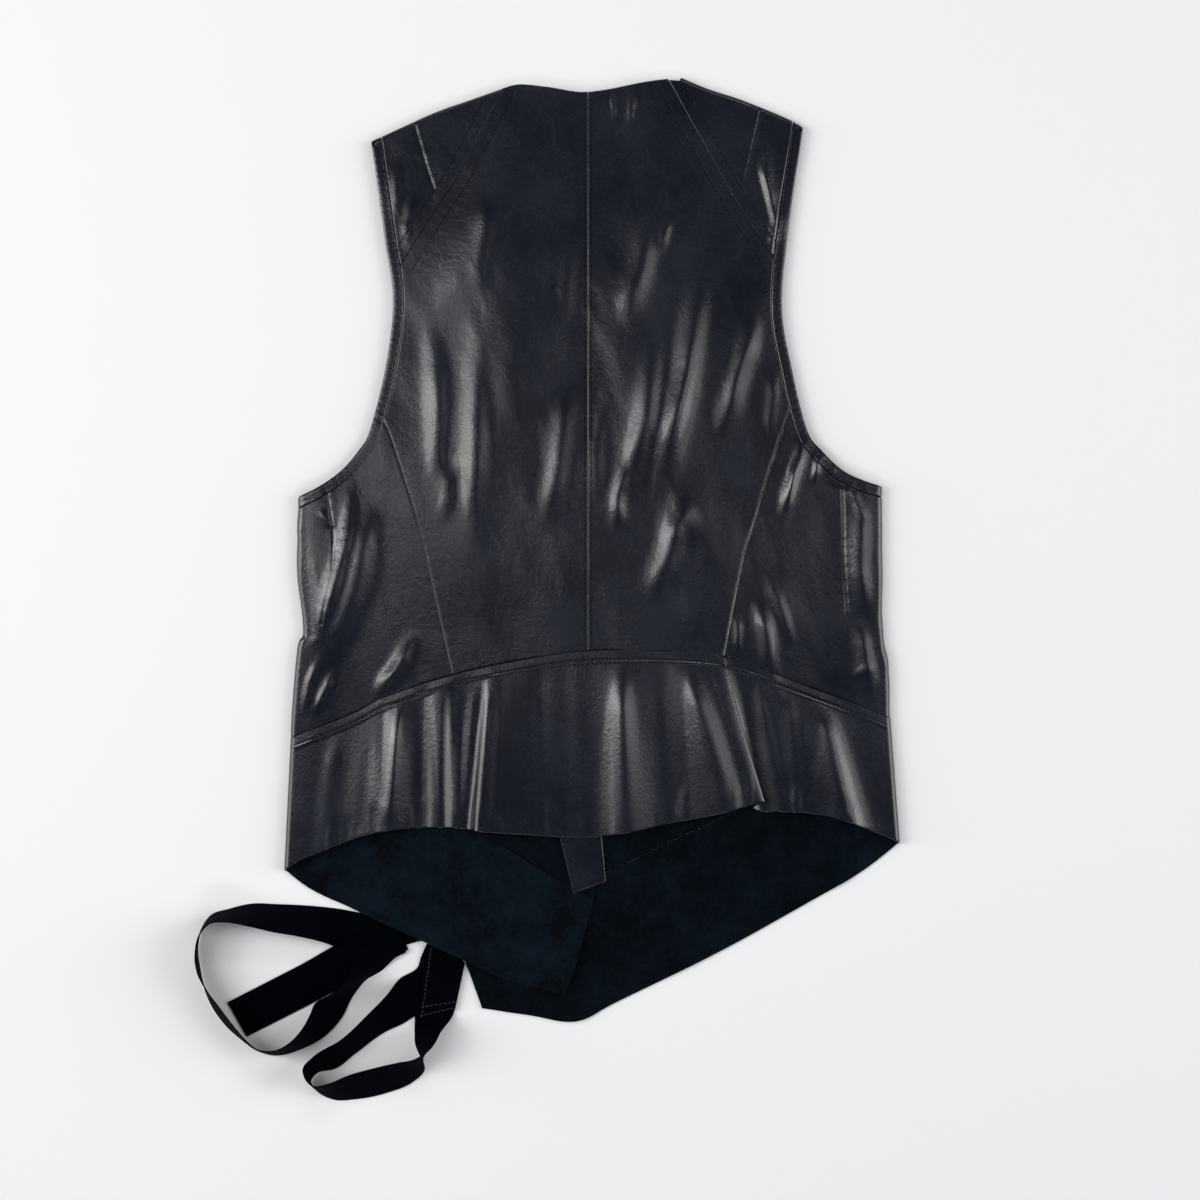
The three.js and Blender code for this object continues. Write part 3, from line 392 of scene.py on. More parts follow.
BACK_WAIST_POINTS: Pairs = [
    (-226.5, -66.1), (-178.6, -47.1), (-153.5, -34.2), (-101.8, -17.5), (-52.4, -6.8), (0, 0.2),
    (63.1, 0.2), (107.2, -4.9), (158.1, -23.2), (208.2, -41.8), (229.5, -50.9),
]
NECK_POINTS: Pairs = [
    (-63.8, 428.2), (-51.7, 430.9), (-30.4, 428.6), (0, 424.8), (43.3, 432.4), (60.8, 434.7),
]
LEFT = Side(
    sign=-1,
    silhouette=[(-231, -166.4), (-226.5, -66), (-221.2, 1), (-216.6, 16), (-221.2, 62), (-220.4, 117)],
    princess=[
        (-102.2, -17.9), (-116.3, 44.1), (-126.9, 89.7), (-139.1, 129.2), (-149.3, 160.4), (-156.6, 177.1),
    ],
    armhole=[
        (-220.4, 117), (-203.7, 125.4), (-187, 137.6), (-174, 152.8), (-165.7, 168), (-153.5, 217.4),
        (-148.2, 266.8), (-154.3, 312.4), (-161.9, 367.1), (-164.9, 387.6),
    ],
    yoke_seam=[(-142.6, 292.6), (-120.1, 329.1), (-95.8, 367.1), (-64.6, 427.6)],
    shoulder=[(-164.9, 387.6), (-147.4, 395.6), (-116.3, 409.6), (-90.4, 418.8), (-64.2, 428)],
    yoke_neck=(-68.2, 420.8),
    neck_turn=(-0.466, -0.885),
    front_waist=[
        (-226.5, -66.1), (-199.1, -80.6), (-158.1, -101.8), (-112.5, -124.6), (-63.1, -149.7),
        (-32.7, -168.7), (4.5, -188.3),
    ],
    front_hem=[
        (-231, -166.4), (-209.8, -182.1), (-174.8, -198.1), (-120.1, -223.1), (-76.8, -243.6),
        (-58.5, -251.6), (-17.5, -261.1),
    ],
    front_edge=[(-17.5, -261.1), (-8, -234.1), (4.5, -188.3)],
    wrap_edge=[
        (4.5, -188.3), (13.7, -142.1), (25.8, -98), (8, 20), (-21.3, 152.8), (-50, 290), (-75.8, 405.9),
    ],
    hem_corner=[(-218.9, -158.8), (-231, -166.4)],
    shoulder_dart=[(-133.0, 403.6), (-124.0, 372.0), (-117.0, 350.4)],
    side_dart=[
        (-199.1, 127.0), (-193.8, 92.7), (-193.4, 76.0), (-194.6, 57.0), (-199.9, 34.2), (-202.2, 20.5),
    ],
)
RIGHT = Side(
    sign=1,
    silhouette=[
        (237.1, -145.5), (232.6, -90), (229.5, -51), (228.8, -14), (224.2, 16), (223.8, 62), (223.4, 125),
    ],
    princess=[(102.6, -3.8), (109.8, 34.4), (120.1, 80.9), (133, 123.1), (143.3, 156.6), (153.6, 183.9)],
    armhole=[
        (223.4, 125), (208.2, 130), (193, 137.6), (177.1, 152.8), (166.4, 168), (155, 213.6),
        (147.4, 264.4), (154.3, 335.2), (161.1, 380.8), (163.4, 398.2),
    ],
    yoke_seam=[(139.8, 300.2), (115.5, 336.7), (83.6, 392.9), (60.8, 434.7)],
    shoulder=[(163.4, 398.2), (151.2, 405.1), (117.8, 418.8), (90.4, 427.9), (70.7, 436.2)],
    yoke_neck=(61.4, 434.0),
    neck_turn=(-0.372, -0.928),
    front_waist=[
        (229.5, -50.9), (205.2, -69.2), (168.7, -92.7), (130.7, -113.2), (47.1, -152.8),
        (-36.5, -193.8), (-98, -225),
    ],
    front_hem=[
        (237.1, -145.5), (208.2, -168), (171.8, -189.2), (100.3, -228.8), (23.3, -266.6),
        (-9.1, -282), (-44.8, -277.4), (-80.6, -272.1),
    ],
    front_edge=[(-80.6, -272.1), (-93.5, -236.7), (-98, -225)],
    wrap_edge=[(-98, -225), (-103.4, -208.2), (-66.9, -98), (1.5, 130), (40, 262), (61.4, 413)],
    hem_corner=[(215.8, -136.8), (237.1, -145.5)],
    shoulder_dart=[(132.2, 413.4), (126.0, 386.0), (120.1, 359.5)],
    side_dart=[(192.7, 134.5), (193.8, 104.1), (194.2, 70.7), (196.4, 35.7), (197.1, 30.0)],
)
BACK_WAIST = beside(plan_line(BACK_WAIST_POINTS), 0.0)
NECK = plan_line(NECK_POINTS)


@dataclass(frozen=True)
class Fold:
    """A soft ridge, or a trough where its height is less than 0, which may bend to one side."""

    start: tuple[float, float]
    end: tuple[float, float]
    width: float
    height: float
    bend: float = 0.0

    def rise(self, x: np.ndarray, y: np.ndarray) -> np.ndarray:
        """A bell across a line that bends and wanders a little, swelling and fading along it."""
        dx, dy = self.end[0] - self.start[0], self.end[1] - self.start[1]
        length = math.hypot(dx, dy)
        along = ((x - self.start[0]) * dx + (y - self.start[1]) * dy) / length**2
        away = ((x - self.start[0]) * dy - (y - self.start[1]) * dx) / length
        turn = self.start[0] + 0.3 * self.start[1]
        wander = 0.16 * np.sin(3.6 * along + turn) + 0.05 * np.sin(11 * along + 2 * turn)
        away = away - self.bend * 4 * along * (1 - along) + self.width * wander
        swell = 0.88 + 0.12 * np.sin(7 * along + 3 * turn)
        taper = soft(along / 0.4) * soft((1 - along) / 0.4)
        return self.height * swell * taper * bell(2 * away, self.width)


# The largest folds, which the solids have too
MAIN_FOLDS = (
    Fold((-60, 388), (-120, 238), 34, 2.6),
    Fold((-121, 262), (-108, 98), 15, 2.2),
    Fold((-84, 262), (-82, 64), 17, 2.3, 4.0),
    Fold((-17, 206), (-30, 86), 15, 2.0),
    Fold((54, 338), (23, 246), 18, 2.4),
    Fold((50, 256), (31, 104), 18, 2.8, -2.0),
    Fold((87, 300), (60, 112), 18, 3.9, 2.0),
    Fold((64, 126), (88, 78), 16, 0.7),
    Fold((128, 264), (97, 156), 14, 2.6),
    Fold((-179, 134), (-215, -2), 12, 2.8, -7.0),
    Fold((-130, 18), (-160, -40), 11, 2.4),
    Fold((126, 46), (146, -30), 12, 2.4),
)

# Smaller creases
CREASES = (
    Fold((-73, 364), (-88, 258), 13, 0.9),
    Fold((-98, 150), (-112, 92), 12, 1.0),
    Fold((-158, 122), (-206, -20), 19, 3.4, -5.0),
    Fold((-204, -2), (-219, -52), 7, 1.4),
    Fold((-192, -12), (-210, -50), 6, 1.0),
    Fold((-206, 108), (-190, 92), 6, 0.8),
    Fold((-141, 378), (-146, 326), 8, 1.0, 2.0),
    Fold((-134, 350), (-138, 306), 7, 0.7),
    Fold((133, 386), (143, 318), 8, 2.2),
    Fold((143, 344), (140, 300), 7, 1.6),
    Fold((28, 146), (22, 88), 10, 2.2),
    Fold((82, 118), (46, 34), 17, 3.2, 2.0),
    Fold((145, 222), (136, 160), 9, 0.8),
    Fold((62, 336), (52, 300), 9, 1.2),
    Fold((-22, 420), (-24, 372), 6, 0.35),
    Fold((34, 430), (30, 396), 6, 0.9),
    Fold((20, 428), (19, 400), 4, 0.7),
    Fold((-12, 330), (-22, 240), 14, 0.9),
    Fold((12, 200), (6, 110), 10, 0.8),
    Fold((165, 168), (147, 92), 9, 2.2),
    Fold((160, 150), (150, 104), 6, 1.2),
    Fold((171, 158), (186, 134), 5, 1.4),
    Fold((178, 152), (170, 126), 5, 1.2),
    Fold((186, 142), (200, 132), 5, 1.2),
    Fold((176, 132), (206, 124), 5, 1.0),
    Fold((196, 128), (214, 96), 6, 1.0),
    Fold((112, 30), (116, -8), 6, 0.9),
    Fold((134, 60), (160, 0), 8, 0.9),
    Fold((206, 118), (213, 20), 16, 2.2),
    Fold((204, 30), (214, -40), 14, 1.6),
    Fold((222, -8), (196, -20), 9, 0.4),
)

# Broad low swells under the creases
SWELLS = (
    Fold((-34, 480), (-70, 90), 70, 3.6),
    Fold((-96, 250), (-92, 20), 44, 1.0),
    Fold((50, 350), (18, 110), 46, 1.8),
    Fold((84, 290), (62, 120), 38, 1.2),
    Fold((126, 300), (98, 160), 34, 1.2),
    Fold((-176, 110), (-214, -30), 38, 1.2),
    Fold((150, 110), (138, -20), 34, 1.2),
)


def uneven(x: np.ndarray, y: np.ndarray, width: float, length: float, seed: int) -> np.ndarray:
    """Smooth chance heights from -1 to 1: a random lattice read with soft shares between.

    Args:
        x: Plan coordinates across.
        y: Plan coordinates up.
        width: The lattice's step across, in millimetres.
        length: The lattice's step up.
        seed: The lattice's seed.

    Returns:
        Heights in the points' shape.
    """
    knots = np.random.default_rng(seed).uniform(-1, 1, (160, 160))
    bend = 0.35 * width * np.sin(y / (0.9 * length) + seed)
    across, up = (x + 0.25 * y + bend) / width + 80, (y - 0.1 * x + bend) / length + 80
    i, j = np.floor(across).astype(int), np.floor(up).astype(int)
    s, t = soft(across - i), soft(up - j)
    i, j = np.clip(i, 0, 158), np.clip(j, 0, 158)
    low = knots[i, j] * (1 - s) + knots[i + 1, j] * s
    high = knots[i, j + 1] * (1 - s) + knots[i + 1, j + 1] * s
    return low * (1 - t) + high * t


@dataclass(frozen=True)
class Relief:
    """The back's outer face: its level, its side rolls, its folds and its fine unevenness."""

    # The lattice's steps in millimetres, and each one's height
    grades: tuple[tuple[float, float, float], ...] = (
        (34.0, 80.0, 0.70), (15.0, 40.0, 0.20), (7.0, 17.0, 0.06), (3.4, 5.5, 0.025),
    )
    roll_top: float = 110.0
    level_from: float = 130.0
    level_fade: float = 60.0
    held_width: float = 12.0
    groove_width: float = 0.9
    pucker_width: float = 6.5

    def depth(self, x: np.ndarray, y: np.ndarray) -> np.ndarray:
        """How far in from the nearer side fold a point lies."""
        low = np.minimum(y, self.roll_top)
        return np.where(x < 0, x - read(LEFT.edge, 1, low), read(RIGHT.edge, 1, low) - x)

    def held(self, depth: np.ndarray) -> np.ndarray:
        """The share of a fold that is left at a depth: none of it on the side roll."""
        return soft((depth - SIDE_ROLL) / self.held_width)

    def base(self, x: np.ndarray, y: np.ndarray, folds: tuple[Fold, ...] = MAIN_FOLDS) -> np.ndarray:
        """The level, raised near the side folds, with folds that die away into the rolls.

        Args:
            x: Plan coordinates across.
            y: Plan coordinates up.
            folds: The folds to add.

        Returns:
            Heights in millimetres.
        """
        depth = self.depth(x, y)
        rise = (2 * SIDE_ROLL - BACK_HEIGHT) * (1 - soft((depth - SIDE_ROLL) / SIDE_FADE))
        height = BACK_HEIGHT + rise * (1 - soft((y - self.level_from) / self.level_fade))
        return height + self.held(depth) * sum(one.rise(x, y) for one in folds)

    def height(self, plan: np.ndarray) -> np.ndarray:
        """The whole outer face: the base, all creases, and the pull of each sewn line."""
        x, y = plan[..., 0], plan[..., 1]
        fine = self.base(x, y, MAIN_FOLDS + CREASES + SWELLS)
        held = self.held(self.depth(x, y))
        for number, (width, length, size) in enumerate(self.grades):
            fine = fine + held * size * uneven(x, y, width, length, SEED + number)
        for line, depth, pucker in SEWN_LINES:
            away, along = nearest(x, y, line)
            fine = fine - depth * bell(away, self.groove_width)
            wave = np.sin(along / 1.35 + 2.1 * np.sin(along / 9.0)) + 0.5 * np.sin(along / 3.1)
            fine = fine + pucker * wave * bell(away, self.pucker_width)
        return fine

    def inside(self, plan: np.ndarray, outer: np.ndarray) -> np.ndarray:
        """The inner face under a patch: the solids' form, and never nearer than the least wall."""
        height = self.base(plan[..., 0], plan[..., 1]) - LEATHER - INSIDE_SLACK
        return raised(plan, np.minimum(height, outer[..., 2] - LEAST_WALL))


def yoke_stitch_line(side: Side, distance: float) -> np.ndarray:
    """A row of stitches beside the yoke seam, on the back panel for a distance above 0."""
    line = beside(plan_line(side.yoke_seam), side.sign * distance)
    return line[(line[:, 1] > side.yoke_seam[0][1] - 4) & (line[:, 1] < side.yoke_seam[-1][1] - 1)]


CENTRE_LINES = [np.array([(offset, 2.0), (offset, 214.0), (offset, 423.0)]) for offset in (-2.6, 2.6)]
YOKE_LINES = [yoke_stitch_line(side, gap) for side in (LEFT, RIGHT) for gap in (9.5, -8.5)]
DART_LINES = [plan_line(dart) for side in (LEFT, RIGHT) for dart in (side.shoulder_dart, side.side_dart)]
PRINCESS_LINES = [plan_line(side.princess) for side in (LEFT, RIGHT)]
# Each sewn line, its groove's depth and its puckers' height
SEWN_LINES = [
    (line, depth, pucker)
    for lines, depth, pucker in (
        (CENTRE_LINES, 0.0, 0.01), (YOKE_LINES, 0.14, 0.02), (DART_LINES, 0.50, 0.03),
        (PRINCESS_LINES, 0.16, 0.02),
    )
    for line in lines
]
RELIEF = Relief()


# Meshes


@dataclass(frozen=True)
class Placement:
    """Where the plan's origin lies in the model: from a corner of the facing strip."""

    facing_corner: tuple[float, float] = (-31.5, -184.7)

    @cached_property
    def origin(self) -> np.ndarray:
        """The plan's origin in metres."""
        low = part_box("front_facing")[0]
        return np.array([low[0] - self.facing_corner[0] * MM, low[1] - self.facing_corner[1] * MM, 0.0])

    def metres(self, points: np.ndarray) -> np.ndarray:
        """Plan points in millimetres as model points in metres."""
        return points * MM + self.origin


PLACE = Placement()


def link(name: str, data: bpy.types.ID) -> bpy.types.Object:
    """An object of a name round its data, linked to the scene."""
    thing = bpy.data.objects.new(name, data)
    bpy.context.scene.collection.objects.link(thing)
    return thing


def put_mesh(name: str, points: np.ndarray, faces: np.ndarray, smooth: np.ndarray,
             uv: np.ndarray | None = None) -> bpy.types.Object:
    """Makes an object of four-cornered faces.

    Args:
        name: The piece's name.
        points: Corner points in plan millimetres, one a row.
        faces: Four point numbers a row.
        smooth: Whether each face is shaded smooth.
        uv: A pair for each point, in metres along the piece.

    Returns:
        The object, linked to the scene.
    """
    mesh = bpy.data.meshes.new(name)
    mesh.vertices.add(len(points))
    mesh.vertices.foreach_set("co", PLACE.metres(points).astype(np.float32).ravel())
    mesh.loops.add(faces.size)
    mesh.loops.foreach_set("vertex_index", faces.astype(np.int32).ravel())
    mesh.polygons.add(len(faces))
    mesh.polygons.foreach_set("loop_start", np.arange(0, faces.size, 4, dtype=np.int32))
    mesh.update(calc_edges=True)
    mesh.polygons.foreach_set("use_smooth", smooth)
    if uv is not None:
        layer = mesh.uv_layers.new(name="cloth")
        layer.data.foreach_set("uv", uv[faces.ravel()].astype(np.float32).ravel())
    mesh.validate()
    return link(name, mesh)


def outward(points: np.ndarray, faces: np.ndarray) -> np.ndarray:
    """The faces, turned over if the volume that they close is less than 0."""
    a, b, c, d = (points[faces[:, k]] for k in range(4))
    volume = (a * np.cross(b, c)).sum() + (a * np.cross(c, d)).sum()
    return faces if volume > 0 else faces[:, ::-1]


def quads(number: np.ndarray) -> np.ndarray:
    """A grid of point numbers as four-cornered faces, one a row."""
    corners = (number[:-1, :-1], number[:-1, 1:], number[1:, 1:], number[1:, :-1])
    return np.stack(corners, axis=-1).reshape(-1, 4)


def shell(name: str, outer: np.ndarray, inner: np.ndarray,
          uv: np.ndarray | None = None) -> bpy.types.Object:
    """Closes the space between two grids of points with rims round their edges.

    Args:
        name: The piece's name.
        outer: The outer face's points, rows by columns.
        inner: The inner face's points, the same shape.
        uv: A pair for each grid point, in metres.

    Returns:
        The closed object.
    """
    rows, columns = outer.shape[:2]
    size = rows * columns
    number = np.arange(size).reshape(rows, columns)
    broad = quads(number)
    edges = (number[:, 0][::-1], number[:, -1], number[0], number[-1][::-1])
    rims = [np.stack([edge[:-1], edge[:-1] + size, edge[1:] + size, edge[1:]], axis=-1) for edge in edges]
    faces = np.concatenate([broad, broad[:, ::-1] + size, *rims])
    points = np.concatenate([outer.reshape(-1, 3), inner.reshape(-1, 3)])
    smooth = np.arange(len(faces)) < 2 * len(broad)
    pairs = None if uv is None else np.concatenate([uv.reshape(-1, 2)] * 2)
    return put_mesh(name, points, outward(points, faces), smooth, pairs)


@dataclass(frozen=True)
class Stitch:
    """One raised stitch: its length, the space after it, its radius, and its rings' shape."""

    length: float = 2.5
    gap: float = 0.9
    radius: float = 0.27
    sides: int = 5
    first: float = 0.5
    # Where each ring lies along the stitch, how high, and its share of the radius
    places: tuple[float, ...] = (0.0, 0.18, 0.82, 1.0)
    arch: tuple[float, ...] = (-0.12, 0.2, 0.2, -0.12)
    girth: tuple[float, ...] = (0.45, 1.0, 1.0, 0.45)
    caps: tuple[tuple[int, ...], ...] = ((2, 3, 4, 0), (0, 1, 2), (18, 17, 16, 15), (15, 19, 18))

    def points(self, paths: list[np.ndarray]) -> np.ndarray:
        """Each stitch's rings: circles round a low arch between two places on its path."""
        starts, ends = [], []
        for path in paths:
            begin = np.arange(self.first, lengths(path)[-1] - self.length, self.length + self.gap)
            starts.append(resample(path, begin))
            ends.append(resample(path, begin + self.length))
        start, end = np.concatenate(starts), np.concatenate(ends)
        along = unit(end - start)
        across = unit(np.cross(along, [0.0, 0.0, 1.0]))
        up = np.cross(across, along)
        angle = np.linspace(0, 2 * np.pi, self.sides, endpoint=False)[None, None, :, None]
        place_at, arch, girth = (np.array(row) for row in (self.places, self.arch, self.girth))
        centre = (start[:, None] + (end - start)[:, None] * place_at[None, :, None]
                  + up[:, None] * arch[None, :, None])
        around = across[:, None, None] * np.cos(angle) + up[:, None, None] * np.sin(angle)
        return centre[:, :, None] + around * (girth * self.radius)[None, :, None, None]

    def sew(self, name: str, paths: list[np.ndarray]) -> bpy.types.Object:
        """Makes one object of closed stitches along lines.

        Args:
            name: The piece's name.
            paths: Lines on the surface, points in plan millimetres with heights.

        Returns:
            The object, linked to the scene.
        """
        points = self.points(paths)
        rings = points.shape[1]
        here = np.arange(self.sides) + self.sides * np.arange(rings - 1)[:, None]
        after = np.roll(here, -1, axis=1)
        tube = np.stack([here + self.sides, after + self.sides, after, here], axis=-1).reshape(-1, 4)
        first = np.arange(len(points)) * rings * self.sides
        polygons = (tube[None] + first[:, None, None]).reshape(-1, 4).tolist()
        polygons += [[corner + start for corner in cap] for start in first.tolist() for cap in self.caps]
        mesh = bpy.data.meshes.new(name)
        mesh.from_pydata(PLACE.metres(points.reshape(-1, 3)).tolist(), [], polygons)
        mesh.polygons.foreach_set("use_smooth", np.ones(len(polygons), bool))
        mesh.update()
        return link(name, mesh)


STITCH = Stitch()


# Finishes


class Nodes:
    """A short way to lay out one material's nodes."""

    def __init__(self, name: str) -> None:
        """Starts a material that has only its output and its main shader."""
        self.material = bpy.data.materials.new(name)
        self.material.use_nodes = True
        self.tree = self.material.node_tree
        self.shader = next(n for n in self.tree.nodes if n.type == "BSDF_PRINCIPLED")

    def add(self, kind: str, **values: object) -> bpy.types.Node:
        """A node of a kind with its settings and its inputs' numbers.

        Args:
            kind: The node's class name without its first words.
            **values: Settings by name, or input numbers by socket name with _ for a space.

        Returns:
            The new node.
        """
        node = self.tree.nodes.new("ShaderNode" + kind)
        for key, value in values.items():
            if hasattr(node, key) and key not in node.inputs:
                setattr(node, key, value)
            else:
                node.inputs[key.replace("_", " ")].default_value = value
        return node

    def where(self, output: str = "Object") -> bpy.types.NodeSocket:
        """The object's own coordinates, or its UV map."""
        return self.add("TexCoord").outputs[output]

    def texture(self, kind: str, where: bpy.types.NodeSocket, **values: object) -> bpy.types.Node:
        """A texture of a kind that reads the given coordinates."""
        node = self.add("Tex" + kind, **values)
        self.join(where, node.inputs["Vector"])
        return node

    def join(self, out: bpy.types.NodeSocket, into: bpy.types.NodeSocket) -> None:
        """Links one socket to another."""
        self.tree.links.new(out, into)

    def surface(self, **values: object) -> None:
        """Sets the main shader's inputs, by socket name with _ for a space."""
        for key, value in values.items():
            socket = self.shader.inputs[key.replace("_", " ")]
            if isinstance(value, bpy.types.NodeSocket):
                self.join(value, socket)
            else:
                socket.default_value = value

    def blend(self, factor: bpy.types.NodeSocket, low: Colour, high: Colour) -> bpy.types.NodeSocket:
        """A colour between two, by a factor."""
        node = self.add("Mix", data_type="RGBA")
        self.join(factor, node.inputs[0])
        node.inputs[6].default_value = (*low, 1.0)
        node.inputs[7].default_value = (*high, 1.0)
        return node.outputs[2]

    def span(self, value: bpy.types.NodeSocket, *ends: float) -> bpy.types.NodeSocket:
        """A value carried from one range, the first two ends, to another and held there."""
        node = self.add("MapRange")
        self.join(value, node.inputs[0])
        for socket, number in zip(node.inputs[1:5], ends):
            socket.default_value = number
        return node.outputs[0]

    def weigh(self, value: bpy.types.NodeSocket, factor: float,
              plus: bpy.types.NodeSocket) -> bpy.types.NodeSocket:
        """A value times a factor, with another value added."""
        node = self.add("Math", operation="MULTIPLY_ADD")
        self.join(value, node.inputs[0])
        node.inputs[1].default_value = factor
        self.join(plus, node.inputs[2])
        return node.outputs[0]

    def bump(self, height: bpy.types.NodeSocket, distance: float, strength: float,
             under: bpy.types.NodeSocket | None = None) -> bpy.types.NodeSocket:
        """A bump of a real height in metres, over another bump if one is given."""
        node = self.add("Bump", Strength=strength, Distance=distance)
        self.join(height, node.inputs["Height"])
        if under is not None:
            self.join(under, node.inputs["Normal"])
        return node.outputs["Normal"]


@dataclass(frozen=True)
class Nappa:
    """Glossy black nappa: a coated dark hide with fine pores and a crackled grain."""

    name: str = "nappa"
    dark: Colour = (0.0020, 0.0027, 0.0070)
    light: Colour = (0.0042, 0.0055, 0.0120)
    roughness: tuple[float, float] = (0.20, 0.30)
    crack_roughness: float = 0.04
    coat: float = 0.3
    coat_roughness: float = 0.12
    pore_scale: float = 950.0
    crackle_scale: float = 210.0
    crackle_bend: float = 0.012

    def make(self) -> bpy.types.Material:
        """Pores and crackle as bumps, and uneven gloss and colour on object coordinates."""
        nodes = Nodes(self.name)
        where = nodes.where()
        broad = nodes.texture("Noise", where, Scale=16.0, Detail=4.0, Roughness=0.6).outputs["Fac"]
        warp = nodes.texture("Noise", where, Scale=60.0, Detail=3.0)
        pores = nodes.texture("Voronoi", where, feature="SMOOTH_F1", Scale=self.pore_scale, Smoothness=0.4)
        fine = nodes.texture("Noise", where, Scale=2400.0, Detail=3.0, Roughness=0.7)
        bent = nodes.add("Mix", data_type="VECTOR")
        bent.inputs[0].default_value = self.crackle_bend
        nodes.join(where, bent.inputs[4])
        nodes.join(warp.outputs["Color"], bent.inputs[5])
        cracks = nodes.texture("Voronoi", bent.outputs[1], feature="DISTANCE_TO_EDGE",
                               Scale=self.crackle_scale).outputs["Distance"]
        line = nodes.span(cracks, 0.0, 0.09, 1.0, 0.0)
        rough = nodes.span(broad, 0.3, 0.7, *self.roughness)
        bump = nodes.bump(pores.outputs["Distance"], 0.00008, 0.5)
        bump = nodes.bump(fine.outputs["Fac"], 0.00003, 0.5, bump)
        bump = nodes.bump(cracks, 0.00045, 0.18, bump)
        nodes.surface(
            Base_Color=nodes.blend(nodes.span(broad, 0.35, 0.68, 0.0, 1.0), self.dark, self.light),
            Roughness=nodes.weigh(line, self.crack_roughness, rough), Normal=bump, Coat_Normal=bump,
            Coat_Weight=self.coat, Coat_Roughness=self.coat_roughness, Specular_IOR_Level=0.5,
        )
        return nodes.material


@dataclass(frozen=True)
class Flesh:
    """The leather's flesh side: a matt navy-black nap with soft blotches."""

    name: str = "flesh_side"
    # These defaults are the lighter, lit copy of the flesh side; a darker copy paints the shade
    dark: Colour = (0.0005, 0.0012, 0.0024)
    light: Colour = (0.0042, 0.0098, 0.0166)
    sheen: float = 0.05
    nap_scale: float = 1500.0

    def make(self) -> bpy.types.Material:
        """Blotches of two sizes in the colour and a fibrous nap as a bump."""
        nodes = Nodes(self.name)
        where = nodes.where()
        broad = nodes.texture("Noise", where, Scale=24.0, Detail=6.0, Roughness=0.72).outputs["Fac"]
        nap = nodes.texture("Noise", where, Scale=self.nap_scale, Detail=4.0, Roughness=0.8).outputs["Fac"]
        tufts = nodes.texture("Noise", where, Scale=330.0, Detail=4.0, Roughness=0.75).outputs["Fac"]
        shade = nodes.span(nodes.weigh(tufts, 0.5, broad), 0.60, 0.95, 0.0, 1.0)
        nodes.surface(
            Base_Color=nodes.blend(shade, self.dark, self.light),
            Normal=nodes.bump(tufts, 0.00120, 0.7, nodes.bump(nap, 0.00025, 0.8)),
            Roughness=0.95, Specular_IOR_Level=0.06, Sheen_Weight=self.sheen, Sheen_Roughness=0.5,
            Sheen_Tint=(0.35, 0.5, 0.75, 1.0),
        )
        return nodes.material


@dataclass(frozen=True)
class Twill:
    """Navy-black twill tape: fine diagonal ribs along the tape's own length."""

    name: str = "twill"
    dark: Colour = (0.0002, 0.0004, 0.0012)
    light: Colour = (0.0008, 0.0016, 0.0046)
    rib: float = 0.00085
    slant: float = math.radians(38)

    def make(self) -> bpy.types.Material:
        """Diagonal bands on the tape's UV map as colour and bump, with thread noise."""
        nodes = Nodes(self.name)
        where = nodes.where("UV")
        turn = nodes.add("Mapping", Rotation=(0.0, 0.0, self.slant))
        nodes.join(where, turn.inputs["Vector"])
        ribs = nodes.texture("Wave", turn.outputs[0], bands_direction="X", wave_profile="SIN",
                             Scale=0.314 / self.rib, Distortion=0.6, Detail=1.0,
                             Detail_Scale=2.0).outputs["Fac"]
        thread = nodes.texture("Noise", where, Scale=1800.0, Detail=3.0).outputs["Fac"]
        wear = nodes.texture("Noise", where, Scale=40.0, Detail=4.0).outputs["Fac"]
        shade = nodes.span(nodes.weigh(ribs, 0.45, wear), 0.4, 1.1, 0.0, 1.0)
        nodes.surface(
            Base_Color=nodes.blend(shade, self.dark, self.light),
            Normal=nodes.bump(thread, 0.00012, 0.6, nodes.bump(ribs, 0.00022, 0.8)),
            Roughness=0.82, Specular_IOR_Level=0.02, Sheen_Weight=0.005, Sheen_Tint=(0.4, 0.5, 0.8, 1.0),
        )
        return nodes.material


@dataclass(frozen=True)
class Thread:
    """Matt sewing thread with a fine twist."""

    name: str = "thread"
    colour: Colour = (0.0009, 0.0010, 0.0014)
    lit: float = 2.2

    def make(self) -> bpy.types.Material:
        """A twist of fine bands as a bump on object coordinates."""
        nodes = Nodes(self.name)
        where = nodes.where()
        twist = nodes.texture("Wave", where, bands_direction="DIAGONAL", Scale=900.0, Distortion=1.0)
        patch = nodes.texture("Noise", where, Scale=120.0)
        lit = tuple(channel * self.lit for channel in self.colour)
        nodes.surface(
            Base_Color=nodes.blend(patch.outputs["Fac"], self.colour, lit),
            Normal=nodes.bump(twist.outputs["Fac"], 0.00006, 0.6), Roughness=0.8,
            Specular_IOR_Level=0.12,
        )
        return nodes.material


@dataclass(frozen=True)
class Paper:
    """The pale floor: plain matt white with a barely seen tooth."""

    name: str = "floor"
    colour: Colour = (0.905, 0.905, 0.905)

    def make(self) -> bpy.types.Material:
        """One pale colour and a faint noise bump."""
        nodes = Nodes(self.name)
        tooth = nodes.texture("Noise", nodes.where(), Scale=300.0)
        nodes.surface(Normal=nodes.bump(tooth.outputs["Fac"], 0.0001, 0.1), Base_Color=(*self.colour, 1.0),
                      Roughness=0.9, Specular_IOR_Level=0.1)
        return nodes.material


